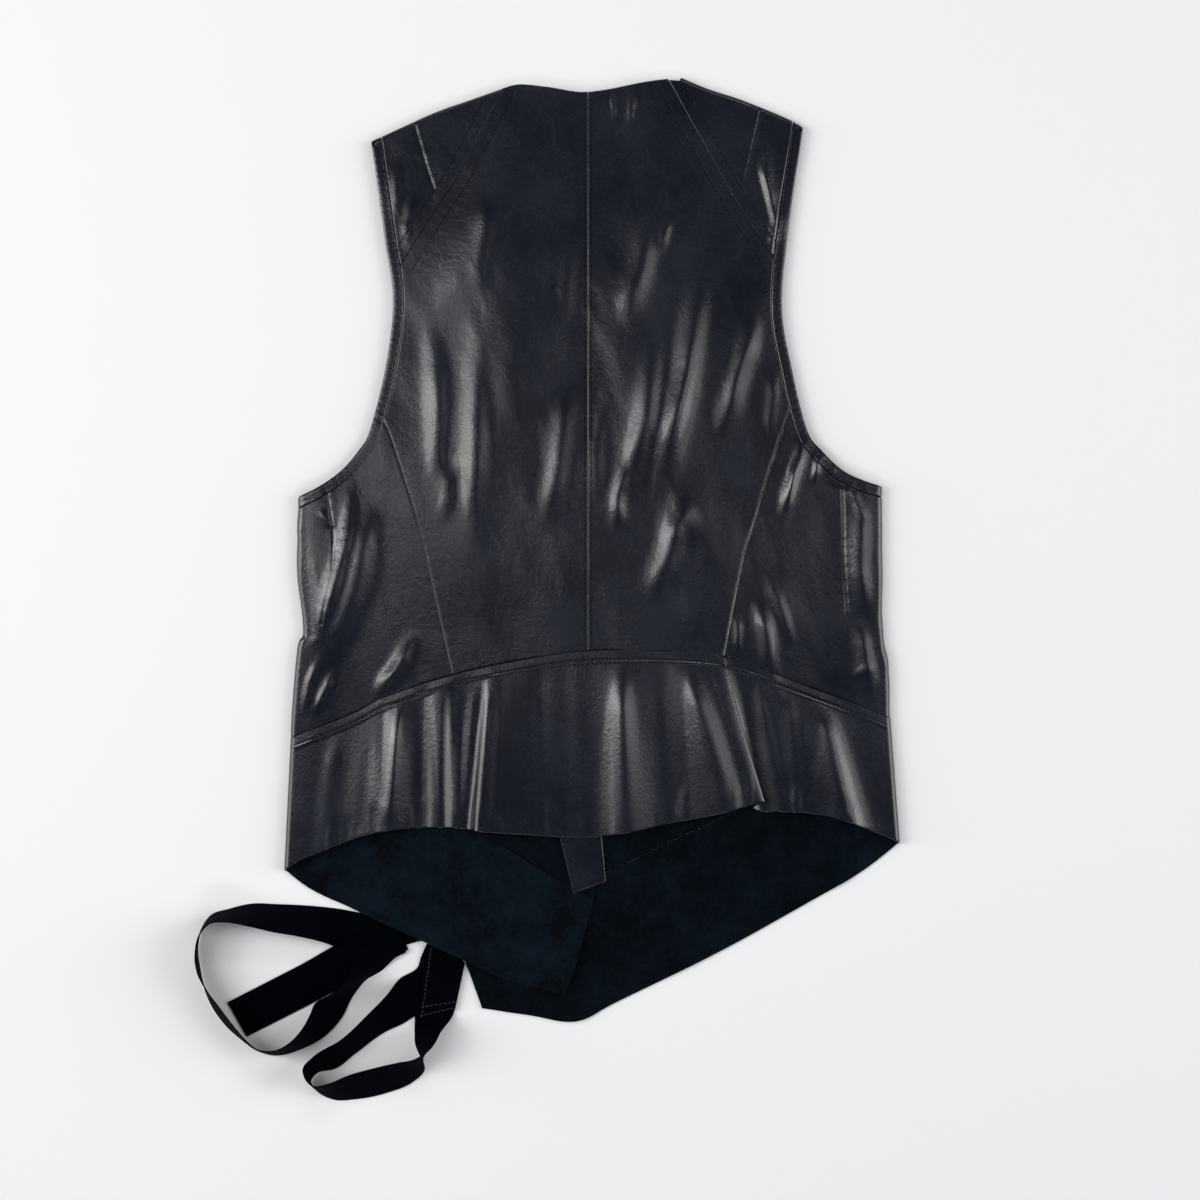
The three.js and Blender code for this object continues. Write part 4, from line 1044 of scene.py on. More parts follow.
@dataclass
class Finishes:
    """The materials that the pieces share."""

    nappa: bpy.types.Material = field(default_factory=Nappa().make)
    # flesh is the lit copy, painted lighter, for the left front on top; the copy below is painted darker as
    # shade on the right front beneath and on the hidden bodices
    flesh: bpy.types.Material = field(default_factory=Flesh().make)
    shaded: bpy.types.Material = field(default_factory=Flesh(
        "flesh_side_painted_shade", (0.0003, 0.0008, 0.0018), (0.0024, 0.0060, 0.0108)).make)
    twill: bpy.types.Material = field(default_factory=Twill().make)
    thread: bpy.types.Material = field(default_factory=Thread().make)
    pale: bpy.types.Material = field(default_factory=Thread("tab_thread", (0.03, 0.032, 0.036)).make)

    def dress(self, piece: bpy.types.Object, slot: Slot, material: bpy.types.Material,
              *nodes: str) -> bpy.types.Object:
        """Gives a piece its material and its body, and hides the nodes that it stands for.

        Args:
            piece: The new piece.
            slot: The record's slot; not used.
            material: The piece's material.
            *nodes: The CAD nodes that it replaces.

        Returns:
            The same piece.
        """
        piece.data.materials.append(material)
        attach(piece, "root")
        if nodes:
            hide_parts(*nodes)
        LOG.info("%s: %d faces", piece.name, len(piece.data.polygons))
        return piece

    def line(self, piece: bpy.types.Object, shape: tuple[int, int], material: bpy.types.Material) -> None:
        """Gives a shell's inner face a second finish; its faces come after the outer face's.

        Args:
            piece: The shell.
            shape: Its grid's rows and columns.
            material: The second finish.
        """
        count = (shape[0] - 1) * (shape[1] - 1)
        index = np.zeros(len(piece.data.polygons), np.int32)
        index[count:2 * count] = 1
        piece.data.materials.append(material)
        piece.data.polygons.foreach_set("material_index", index)

    def panel(self, name: str, outer: np.ndarray, inner: np.ndarray) -> None:
        """Makes one nappa panel between its two faces.

        Args:
            name: The panel's name, which its CAD node has too.
            outer: The outer face's grid.
            inner: The inner face's grid.
        """
        piece = shell(name + "_leather", outer, inner)
        self.dress(piece, Slot.LEATHER, self.nappa, name)
        lay_sheet(outer)

    def sew(self, name: str, paths: list[np.ndarray], slot: Slot = Slot.LEATHER) -> None:
        """Sews stitches of the dark thread along paths.

        Args:
            name: The piece's name.
            paths: Lines on the surface.
            slot: The slot of the piece that they are sewn to.
        """
        self.dress(STITCH.sew(name, paths), slot, self.thread)


def surface_area(grid: np.ndarray) -> float:
    """A grid's area in square metres, from the cross product of each cell's diagonals."""
    one, two = grid[1:, 1:] - grid[:-1, :-1], grid[1:, :-1] - grid[:-1, 1:]
    return float(np.linalg.norm(np.cross(one, two), axis=2).sum() / 2 * MM * MM)


def lay_sheet(grid: np.ndarray) -> None:
    """Works out a grid's area in square metres; the area is not used."""
    area = surface_area(grid)


# Sub-assemblies


@dataclass
class BackPanels:
    """The two back panels, from the waist seam to the neck, and their topstitching."""

    finishes: Finishes
    thickness: float = LEATHER
    width: float = 140.0
    centre_drop: float = 0.09
    centre_round: float = 0.45
    thread_proud: float = 0.02

    def boundary(self, side: Side) -> np.ndarray:
        """The outer boundary: the princess seam, then the armhole band, then the yoke seam."""
        low, high = side.princess[-1][1], side.yoke_seam[0][1]
        princess = beside(plan_line(side.princess), side.sign * SEAM_GAP / 2)
        yoke = beside(plan_line(side.yoke_seam), side.sign * SEAM_GAP / 2)
        arm = side.panel_arm
        parts = (princess[princess[:, 1] < low], arm[(arm[:, 1] >= low) & (arm[:, 1] <= high)],
                 yoke[yoke[:, 1] > high])
        return np.vstack([part[np.argsort(part[:, 1])] for part in parts])

    def build(self, side: Side, name: str) -> None:
        """Makes one back panel: a patch between its seams, raised by the relief.

        Args:
            side: Which side.
            name: The panel's name, which its CAD node has too.
        """
        gap, centre = SEAM_GAP / 2, side.sign * SEAM_GAP / 2
        low, high = float(read(BACK_WAIST, 0, side.princess[0][0])) + gap, side.yoke_seam[-1][1]
        u, v = shares(self.width), shares(high - low)
        outside = at_y(self.boundary(side), low + (high - low) * v)
        foot, crown = float(read(BACK_WAIST, 0, centre)) + gap, float(read(NECK, 0, centre))
        inside = np.stack([np.full_like(v, centre), foot + (crown - foot) * v], axis=1)
        bottom = at_x(BACK_WAIST, centre + (outside[0, 0] - centre) * u, gap)
        top = at_x(NECK, centre + (outside[-1, 0] - centre) * u)
        plan = coons(bottom, top, inside, outside, u, v)
        height = RELIEF.height(plan)
        near, far, down, up = edge_depths(plan)
        drop = (rounding(near, self.centre_drop, self.centre_round) + rounding(far)
                + rounding(down) + rounding(up))
        outer = raised(plan, height - np.minimum(drop, EDGE_DROP))
        self.finishes.panel(name, outer, raised(plan, height - self.thickness))

    def stitch(self) -> None:
        """Sews the twin rows along the centre back and the rows beside the yoke seams."""
        lines = [each_mm(line) for line in [*CENTRE_LINES, *YOKE_LINES]]
        self.finishes.sew("back_stitches", [
            raised(line, RELIEF.height(line) + self.thread_proud) for line in lines])


@dataclass
class SidePanels:
    """The side panels, which run from the princess seam round the side roll."""

    finishes: Finishes
    radius: float = SIDE_ROLL
    height: float = 195.0
    width: float = 96.0
    wrinkle: float = 0.28
    deepest: float = -0.15
    # Shares of the way in under the side, and the roll's steps
    under: tuple[float, ...] = (1.0, 0.7, 0.4, 0.2)
    roll_steps: int = 23

    def column(self, side: Side, reach: float, upper: bool, v: np.ndarray) -> np.ndarray:
        """Heights up one column at a distance in from the fold, above the roll or beneath it."""
        waist = BACK_WAIST if upper else side.waist
        low = float(read(waist, 0, side.fold_foot + side.inward * reach)) + SEAM_GAP / 2
        high = float(read(side.panel_arm, 0, side.fold_arm + side.inward * reach))
        return low + (high - low) * v

    def patch(self, side: Side, v: np.ndarray) -> np.ndarray:
        """The plan of the upper part, from the roll to the princess seam."""
        arm = side.panel_arm
        princess = beside(plan_line(side.princess), side.inward * SEAM_GAP / 2)
        foot = float(read(BACK_WAIST, 0, side.princess[0][0])) + SEAM_GAP / 2
        right = at_y(princess, foot + (side.princess[-1][1] - foot) * v)
        left_y = self.column(side, self.radius, True, v)
        left = np.stack([side.fold(left_y) + side.inward * self.radius, left_y], axis=1)
        u = shares(self.width, 1.0, low=False)
        bottom = at_x(BACK_WAIST, left[0, 0] + (right[0, 0] - left[0, 0]) * u, SEAM_GAP / 2)
        start, end = place(arm, 0, left[-1, 0]), place(arm, 1, right[-1, 1])
        top = resample(arm, start + (end - start) * u)
        right[-1] = top[-1]
        return coons(bottom, top, left, right, u, v)

    def turned(self, side: Side, v: np.ndarray, rim: np.ndarray) -> tuple[np.ndarray, np.ndarray]:
        """The flat lower part, then a half-round roll with small wrinkles across it.

        Args:
            side: Which side.
            v: Shares up.
            rim: How far the outer face drops at the column's ends.

        Returns:
            The outer and the inner face's points, rows by columns.
        """
        outer, inner = [], []
        seam_low = side.fold_foot + side.inward * UNDER_WIDTH
        seam_high = side.fold_arm + side.inward * UNDER_WIDTH
        for share in self.under:
            y = self.column(side, self.radius + (UNDER_WIDTH - self.radius) * share, False, v)
            fold = side.fold(y) + side.inward * self.radius
            part = np.clip((y - SIDE_FOOT) / (ARM_LEVEL - SIDE_FOOT), 0, 1)
            x = fold + (seam_low + (seam_high - seam_low) * part - fold) * share
            outer.append(np.stack([x, y, np.zeros_like(y)], axis=1))
            inner.append(np.stack([x, y, np.full_like(y, LEATHER)], axis=1))
        for angle in np.radians(np.linspace(-90, 90, self.roll_steps)[:-1]):
            y = self.column(side, self.radius * (1 - math.cos(angle)), angle >= 0, v)
            wrinkle = self.wrinkle * math.cos(angle) * np.sin(y / 5.3 + 1.7 * np.sin(y / 17.0) + angle)
            wrinkle = wrinkle * (0.5 + 0.5 * np.sin(y / 31.0 + side.sign))
            outer_radius = self.radius - rim - np.maximum(wrinkle, self.deepest)
            for face, radius in ((outer, outer_radius), (inner, self.radius - LEATHER)):
                x = side.fold(y) + side.inward * (self.radius - radius * math.cos(angle))
                z = np.full_like(y, self.radius + radius * math.sin(angle))
                face.append(np.stack([x, y, z], axis=1))
        return np.stack(outer, axis=1), np.stack(inner, axis=1)

    def build(self, side: Side, name: str) -> None:
        """Makes one side panel: its lower part, a half-round roll, then its upper patch.

        Args:
            side: Which side.
            name: The panel's name.
        """
        v = shares(self.height, 1.1)
        plan = self.patch(side, v)
        _, far, low, high = edge_depths(plan)
        drop = np.minimum(rounding(far) + rounding(low) + rounding(high), EDGE_DROP)
        upper = raised(plan, RELIEF.height(plan) - drop)
        rim = np.minimum(rounding(low[:, 0]) + rounding(high[:, 0]), EDGE_DROP)
        turned, turned_in = self.turned(side, v, rim)
        outer = np.concatenate([turned, upper], axis=1)
        outer[..., 2] = np.maximum(outer[..., 2], 0.0)
        self.finishes.panel(name, outer, np.concatenate([turned_in, RELIEF.inside(plan, upper)], axis=1))


@dataclass
class Yokes:
    """The yokes, which run from the slanted seams over the shoulders to the front."""

    finishes: Finishes
    radius: float = SHOULDER_ROLL
    width: float = 92.0
    length: float = 100.0
    crest_inset: float = BAND_WIDTH + SEAM_GAP - 0.4
    seam_lift: float = 0.8
    corner_lift: float = 0.4
    under_steps: int = 9
    roll_steps: int = 19

    def crest(self, side: Side, u: np.ndarray) -> tuple[np.ndarray, np.ndarray]:
        """The shoulder's edge, and the direction down from it: from the arm's lean to the neck's."""
        shoulder, arm = plan_line(side.shoulder), side.panel_arm
        first = side.armhole[-1][0] - side.sign * self.crest_inset
        crest = at_x(shoulder, first + (shoulder[-1, 0] - first) * u)
        crest[0, 0] = read(arm, 1, crest[0, 1])
        lean = (float(read(arm, 1, crest[0, 1] - self.radius)) - crest[0, 0]) / self.radius
        return crest, (1 - u[:, None]) * np.array([lean, -1.0]) + u[:, None] * np.array(side.neck_turn)

    def patch(self, side: Side, start: np.ndarray, u: np.ndarray) -> np.ndarray:
        """The plan of the upper part, from the roll to the slanted seam."""
        arm = side.panel_arm
        seam = beside(plan_line(side.yoke_seam), side.inward * SEAM_GAP / 2)
        low = side.yoke_seam[0][1] + self.seam_lift
        seam_row = at_y(seam, low + (side.yoke_neck[1] - low) * u)
        seam_row[0] = (read(arm, 1, low + self.corner_lift), low + self.corner_lift)
        v = shares(self.length, 1.0, low=False)
        arm_edge = at_y(arm, start[0, 1] + (seam_row[0, 1] - start[0, 1]) * v)
        return coons(start, seam_row, arm_edge, between(start[-1], seam_row[-1], v), u, v)

    def front_part(self, side: Side, start: np.ndarray, u: np.ndarray) -> np.ndarray:
        """The plan of the part beneath, from its hem to the roll."""
        arm = side.panel_arm
        hem_y = side.armhole[-1][1] + BAND_WIDTH / 2 - YOKE_UNDER
        arm_end = np.array([float(read(arm, 1, hem_y)), hem_y])
        neck_end = plan_line(side.shoulder)[-1] + np.array(side.neck_turn) * YOKE_UNDER
        t = np.linspace(0, 1, self.under_steps)
        arm_edge = at_y(arm, arm_end[1] + (start[0, 1] - arm_end[1]) * t)
        neck_edge = between(neck_end, start[-1], t)
        return coons(between(arm_end, neck_end, u), start, arm_edge, neck_edge, u, t)[:-1]

    def build(self, side: Side, name: str) -> None:
        """Makes one yoke: its front part beneath, the shoulder roll, then its back part.

        Args:
            side: Which side.
            name: The yoke's name.
        """
        u = shares(self.width, 1.0)
        crest, turn = self.crest(side, u)
        start = crest + turn * self.radius
        plan = self.patch(side, start, u)
        near, far, _, end = edge_depths(plan)
        drop = np.minimum(rounding(near) + rounding(far) + rounding(end), EDGE_DROP)
        upper = raised(plan, RELIEF.height(plan) - drop)
        lower = self.front_part(side, start, u)
        flat = np.zeros(lower.shape[:2])
        rim = np.minimum(rounding(near[0]) + rounding(far[0]), EDGE_DROP)
        angle = np.radians(np.linspace(-90, 90, self.roll_steps))[:-1, None]
        rise = (RELIEF.height(start) - BACK_HEIGHT) * soft((np.degrees(angle) + 30) / 120)

        def roll(radius: np.ndarray) -> np.ndarray:
            """The half-round over the shoulder at a radius."""
            reach = self.radius - radius * np.cos(angle)
            at = crest[None] + turn[None] * reach[..., None]
            return raised(at, self.radius + radius * np.sin(angle) + rise)

        outer = np.concatenate([raised(lower, flat), roll(self.radius - rim[None]), upper])
        inner_roll = roll(np.full((1, len(u)), self.radius - LEATHER))
        inner = np.concatenate([raised(lower, flat + LEATHER), inner_roll, RELIEF.inside(plan, upper)])
        self.finishes.panel(name, outer, inner)


@dataclass
class ArmholeBands:
    """The bands round the armholes, each a closed ring with one row of stitches."""

    finishes: Finishes
    width: float = BAND_WIDTH
    wall: float = BAND_WALL
    pucker: float = 0.07
    pucker_step: float = 5.6
    end_margin: float = 3.6
    around: int = 170
    turn_steps: int = 15
    girth: int = 24
    thread_sink: float = 0.05
    # Where the stitched groove lies across the band, and its depth and width
    groove_at: float = 0.74
    groove_depth: float = 0.16
    groove_width: float = 0.09

    def flat_edges(self, side: Side) -> tuple[list[np.ndarray], list[np.ndarray]]:
        """The outer and inner edge on the back, with slanting puckers, and on the front."""
        outline = plan_line(side.armhole)
        run = np.linspace(self.end_margin, lengths(outline)[-1] - self.end_margin, self.around)
        out = resample(outline, run)
        slope = unit(np.gradient(out, axis=0))
        inner = out + side.sign * self.width * np.stack([-slope[:, 1], slope[:, 0]], axis=1)
        edges, run = (out[::-1], inner[::-1]), run[::-1]
        size = self.pucker * (0.35 + 0.65 * np.sin(run / 19.0) ** 2)
        wave = 2 * np.pi * run / self.pucker_step + 0.9 * np.sin(run / 11.0)
        above = [raised(edge, RELIEF.height(edge) + BAND_PROUD + size * np.sin(wave + turn))
                 for edge, turn in zip(edges, (0.0, 1.9))]
        return above, [raised(edge[::-1], np.zeros(len(edge))) for edge in edges]

    def rings(self, side: Side) -> list[np.ndarray]:
        """The ring's edges: outer face's two, then inner face's two, round side and shoulder."""
        above, beneath = self.flat_edges(side)
        turns, up = np.radians(np.linspace(80, -80, self.turn_steps)), np.array([0.0, 0.0, 1.0])
        side_radius, top_radius = SIDE_ROLL + BAND_PROUD / 2, SHOULDER_ROLL + BAND_PROUD / 2
        end = np.array(side.armhole[-1])
        inner_y = float(read(plan_line(side.shoulder), 0, end[0] + side.inward * self.width))
        inner_end = np.array([float(read(side.arm_in, 1, inner_y)), inner_y])
        lean = (float(read(side.arm, 1, end[1] - SHOULDER_ROLL)) - end[0]) / SHOULDER_ROLL

        def at_side(edge: np.ndarray, wall: float) -> np.ndarray:
            """One edge of the band as it turns round the side roll."""
            y = read(edge, 0, side.fold_arm + side.inward * side_radius * (1 - np.cos(turns)))
            x = side.fold_arm + side.inward * (side_radius - (side_radius - wall) * np.cos(turns))
            return np.stack([x, y, side_radius + (side_radius - wall) * np.sin(turns)], axis=1)

        def at_shoulder(point: np.ndarray, wall: float) -> np.ndarray:
            """One edge of the band as it turns over the shoulder."""
            back = turns[::-1]
            reach = top_radius - (top_radius - wall) * np.cos(back)
            return np.stack([point[0] + lean * reach, point[1] - reach,
                             top_radius + (top_radius - wall) * np.sin(back)], axis=1)

        return [
            np.concatenate([above[k] - wall * up, at_side(edge, wall), beneath[k] + wall * up,
                            at_shoulder(point, wall)])
            for wall in (0.0, self.wall)
            for k, (edge, point) in enumerate(((side.arm, end), (side.arm_in, inner_end)))
        ]

    def build(self, side: Side, name: str) -> None:
        """Makes one band: a rounded oblong carried round its ring of edges.

        Args:
            side: Which side.
            name: The band's name.
        """
        outer_out, outer_in, inner_out, inner_in = self.rings(side)
        phi = np.linspace(0, 2 * np.pi, self.girth, endpoint=False)
        s = 0.5 + 0.5 * np.sign(np.cos(phi)) * np.abs(np.cos(phi)) ** 0.45
        t = 0.5 - 0.5 * np.sign(np.sin(phi)) * np.abs(np.sin(phi)) ** 0.6
        groove = self.groove_depth * bell(s - self.groove_at, self.groove_width) * (t < 0.5)
        s, t = s[None, :, None], (t + groove)[None, :, None]
        points = ((1 - s) * (1 - t) * outer_out[:, None] + s * (1 - t) * outer_in[:, None]
                  + (1 - s) * t * inner_out[:, None] + s * t * inner_in[:, None])
        number = np.arange(points.shape[0] * points.shape[1]).reshape(points.shape[:2])
        closed = np.pad(number, ((0, 1), (0, 1)), mode="wrap")
        flat = points.reshape(-1, 3)
        piece = put_mesh(name + "_leather", flat, outward(flat, quads(closed)), np.ones(number.size, bool))
        self.finishes.dress(piece, Slot.LEATHER, self.finishes.nappa, name)
        middle = (outer_out + outer_in) / 2
        lengths(middle)[-1] * MM
        row = outer_out[:self.around] * (1 - self.groove_at) + outer_in[:self.around] * self.groove_at
        row[:, 2] -= self.thread_sink
        self.finishes.sew(name + "_stitches", [each_mm(row, 2.0)])


@dataclass(frozen=True)
class Station:
    """One place across the peplum: on the waist seam, and at the hem with its middle height."""

    waist: float
    x: float
    y: float
    z: float


FLARE = (
    Station(-209.8, -218.9, -158.8, 8.3), Station(-184.7, -196.1, -149.7, 7.5),
    Station(-161.9, -176.3, -142.1, 9.0), Station(-140.6, -149.0, -136.0, 11.5),
    Station(-124.6, -127.7, -134.5, 7.0), Station(-108.7, -109.4, -134.1, 11.0),
    Station(-94.0, -96.0, -135.3, 6.4), Station(-78.0, -87.0, -136.4, 10.6),
    Station(-74.5, -84.4, -136.8, 12.0), Station(-63.1, -70.7, -137.9, 11.2),
    Station(-44.1, -44.1, -139.8, 9.5), Station(-21.3, -19.8, -141.4, 8.5),
    Station(1.5, 6.1, -141.1, 8.5), Station(25.8, 35.0, -136.8, 11.5),
    Station(50.9, 60.8, -131.1, 8.5), Station(72.2, 97.3, -123.9, 12.5),
    Station(86.6, 119.3, -118.2, 12.0), Station(97.0, 131.8, -114.6, 12.2),
    Station(99.2, 133.4, -114.2, 11.7), Station(100.6, 133.8, -114.4, 10.8),
    Station(102.0, 133.0, -115.0, 9.9), Station(104.2, 126.4, -118.0, 8.2),
    Station(106.0, 125.2, -119.4, 7.2), Station(107.8, 126.6, -120.4, 6.1),
    Station(121.6, 149.7, -122.4, 6.4), Station(142.1, 172.5, -123.9, 8.0),
    Station(163.4, 196.1, -129.2, 11.0), Station(187.7, 215.8, -136.8, 9.0),
    Station(208.0, 226.0, -140.6, 8.4),
)


@dataclass
class Peplum:
    """The flared peplum: round both side rolls and across the back, with one closed pleat."""

    finishes: Finishes
    hem_crown: float = 8.3
    height: float = 130.0
    step: float = 1.7
    allowance: float = ALLOWANCE
    allowance_raise: float = 0.8
    stitch_inset: float = 1.9
    # Shares of the way in under the side, and the roll's steps
    under: tuple[float, ...] = (1.0, 0.75, 0.5, 0.3, 0.12)
    roll_steps: int = 19
    creases: int = 46
    crinkles: int = 70
    # Ribs: x at the waist, x at the hem, half width and height
    ribs: tuple[tuple[float, float, float, float], ...] = (
        (25.0, 26.0, 12.0, 2.6), (73.0, 108.0, 13.0, 2.2), (-143.0, -152.0, 5.0, 1.3),
        (-74.0, -85.0, 3.0, 0.9), (-79.5, -90.5, 4.6, -2.7), (-92.0, -101.0, 7.0, -0.8),
        (-104.0, -105.5, 5.5, -1.3), (176.0, 198.0, 12.0, 2.0), (152.0, 160.0, 8.0, 0.8),
        (-192.0, -200.0, 10.0, 1.0), (126.0, 148.0, 7.0, 0.8),
    )

    def across(self) -> np.ndarray:
        """Stations at an even step, on a cubic through the table."""
        table = np.array([(s.waist, s.x, s.y, s.z) for s in FLARE])
        chord = np.maximum(np.linalg.norm(np.diff(table[:, (1, 3)], axis=0), axis=1), 0.01)
        counts = np.maximum((chord / self.step).astype(int), 2)
        span = np.append(np.repeat(np.arange(len(chord)), counts), len(chord) - 1)
        t = np.concatenate([np.arange(count) / count for count in counts])
        return weighed_cubic(table, chord, span, np.append(t, 1.0)[:, None])

    def side_part(self, side: Side, v: np.ndarray) -> np.ndarray:
        """The lower part and the half-round roll at one side, as rows by columns of points."""
        half = LEATHER / 2
        hem = side.silhouette[0][0]
        fold = side.fold_foot + (hem - side.fold_foot) * v
        crown = 2 * SIDE_ROLL - half
        crown = crown + (self.hem_crown - crown) * (1 - (1 - v) ** 2)
        radius = (crown - half) / 2
        columns = []

        def column(reach: np.ndarray | float, upper: bool, z: np.ndarray) -> None:
            """Adds a column at a distance in from the fold, from the upper or lower seam to its hem."""
            waist_line = BACK_WAIST if upper else side.waist
            hem_line = np.array(side.hem_corner) if upper else side.hem
            waist_y = read(waist_line, 0, side.fold_foot + side.inward * reach) - SEAM_GAP / 2
            hem_y = read(hem_line, 0, hem + side.inward * reach)
            y = waist_y + (hem_y - waist_y) * v
            columns.append(np.stack([fold + side.inward * reach, y, z], axis=1))

        for share in self.under:
            column(SIDE_ROLL + (UNDER_WIDTH - SIDE_ROLL) * share, False, np.full_like(v, half))
        for angle in np.radians(np.linspace(-90, 90, self.roll_steps)):
            column(half + radius * (1 - math.cos(angle)), angle >= 0, half + radius * (1 + math.sin(angle)))
        return np.stack(columns, axis=1)

    def back_part(self, v: np.ndarray) -> np.ndarray:
        """The part across the back, ruled from the waist seam to the hem, with its creases."""
        rows = self.across()
        waist_y = read(BACK_WAIST, 0, rows[:, 0]) - SEAM_GAP / 2
        start = RELIEF.base(rows[:, 0], waist_y) - LEATHER / 2
        s = v[:, None]
        x = rows[None, :, 0] + (rows[None, :, 1] - rows[None, :, 0]) * s
        y = waist_y[None] + (rows[None, :, 2] - waist_y[None]) * s
        down = (waist_y - rows[:, 2])[None] * s
        inside = soft((RELIEF.depth(rows[:, 0], waist_y) - 6) / 14)[None]
        band = self.allowance_raise * (1 - soft((down - self.allowance + 0.2) / 0.8))
        groove = 0.3 * bell(down - self.allowance + self.stitch_inset, 0.8)
        rise = (rows[None, :, 3] - start[None]) * (1 - (1 - s) ** 2)
        z = start[None] + rise + (band - groove + self.ripple(x, s)) * inside
        return np.stack([x, y, z], axis=-1)

    def build(self) -> None:
        """Makes the peplum: its wall is laid off along the normals of its middle surface."""
        fine = np.arange(5.0, 11.0, 0.35) / self.height
        v = np.unique(np.concatenate([shares(self.height, 2.0), fine]))
        half = LEATHER / 2
        middle = np.concatenate(
            [self.side_part(LEFT, v), self.back_part(v), self.side_part(RIGHT, v)[:, ::-1]], axis=1)
        slope = unit(np.gradient(middle[..., (0, 2)], axis=1))
        normal = np.stack([-slope[..., 1], np.zeros(slope.shape[:2]), slope[..., 0]], axis=-1)
        _, _, low, high = edge_depths(middle[..., :2])
        drop = np.minimum(rounding(low, 0.6) + rounding(high, 0.5, 1.0), 0.7)[..., None]
        outer = middle + normal * (half - drop)
        outer[..., 2] = np.maximum(outer[..., 2], 0.0)
        piece = shell("peplum_leather", outer, middle - normal * half)
        self.finishes.dress(piece, Slot.LEATHER, self.finishes.nappa, "peplum")
        self.finishes.line(piece, outer.shape[:2], self.finishes.flesh)
        lay_sheet(outer)
        self.stitch(outer, low)

    def ripple(self, x: np.ndarray, s: np.ndarray) -> np.ndarray:
        """Soft creases that fan down from the seam, ribs, and crinkles at the hem: bells across each.

        Args:
            x: Plan coordinates across.
            s: Shares down from the waist seam, as a column.

        Returns:
            Heights in millimetres.
        """
        rng = np.random.default_rng(SEED + 1)
        count = self.creases
        total = np.zeros(np.broadcast(x, s).shape)
        for centre, width, size, lean in zip(rng.uniform(-215, 220, count), rng.uniform(4, 10, count),
                                             rng.uniform(-0.3, 0.3, count), rng.normal(0, 9, count)):
            total += size * bell(x - centre - lean * s, width) * soft(s / 0.15)
        for start, end, width, size in self.ribs:
            away = x - start - (end - start) * s
            total += size * bell(away, width * (0.45 + 0.55 * s)) * soft((s - 0.05) / 0.3)
        count = self.crinkles
        for centre, width, size, top, lean in zip(
                rng.uniform(-205, 205, count), rng.uniform(1.6, 3.6, count), rng.uniform(-0.4, 0.4, count),
                rng.uniform(0.72, 0.9, count), rng.normal(0, 5, count)):
            total += size * bell(x - centre - lean * (s - top), width) * soft((s - top) / 0.12)
        return total

    def stitch(self, outer: np.ndarray, low: np.ndarray) -> None:
        """Sews a row below the waist seam, on the raised allowance."""
        first = len(self.under) + self.roll_steps
        row = int(np.abs(low[:, first] - self.allowance + self.stitch_inset).argmin())
        self.finishes.sew("waist_stitches", [each_mm(outer[row, first:-first])])


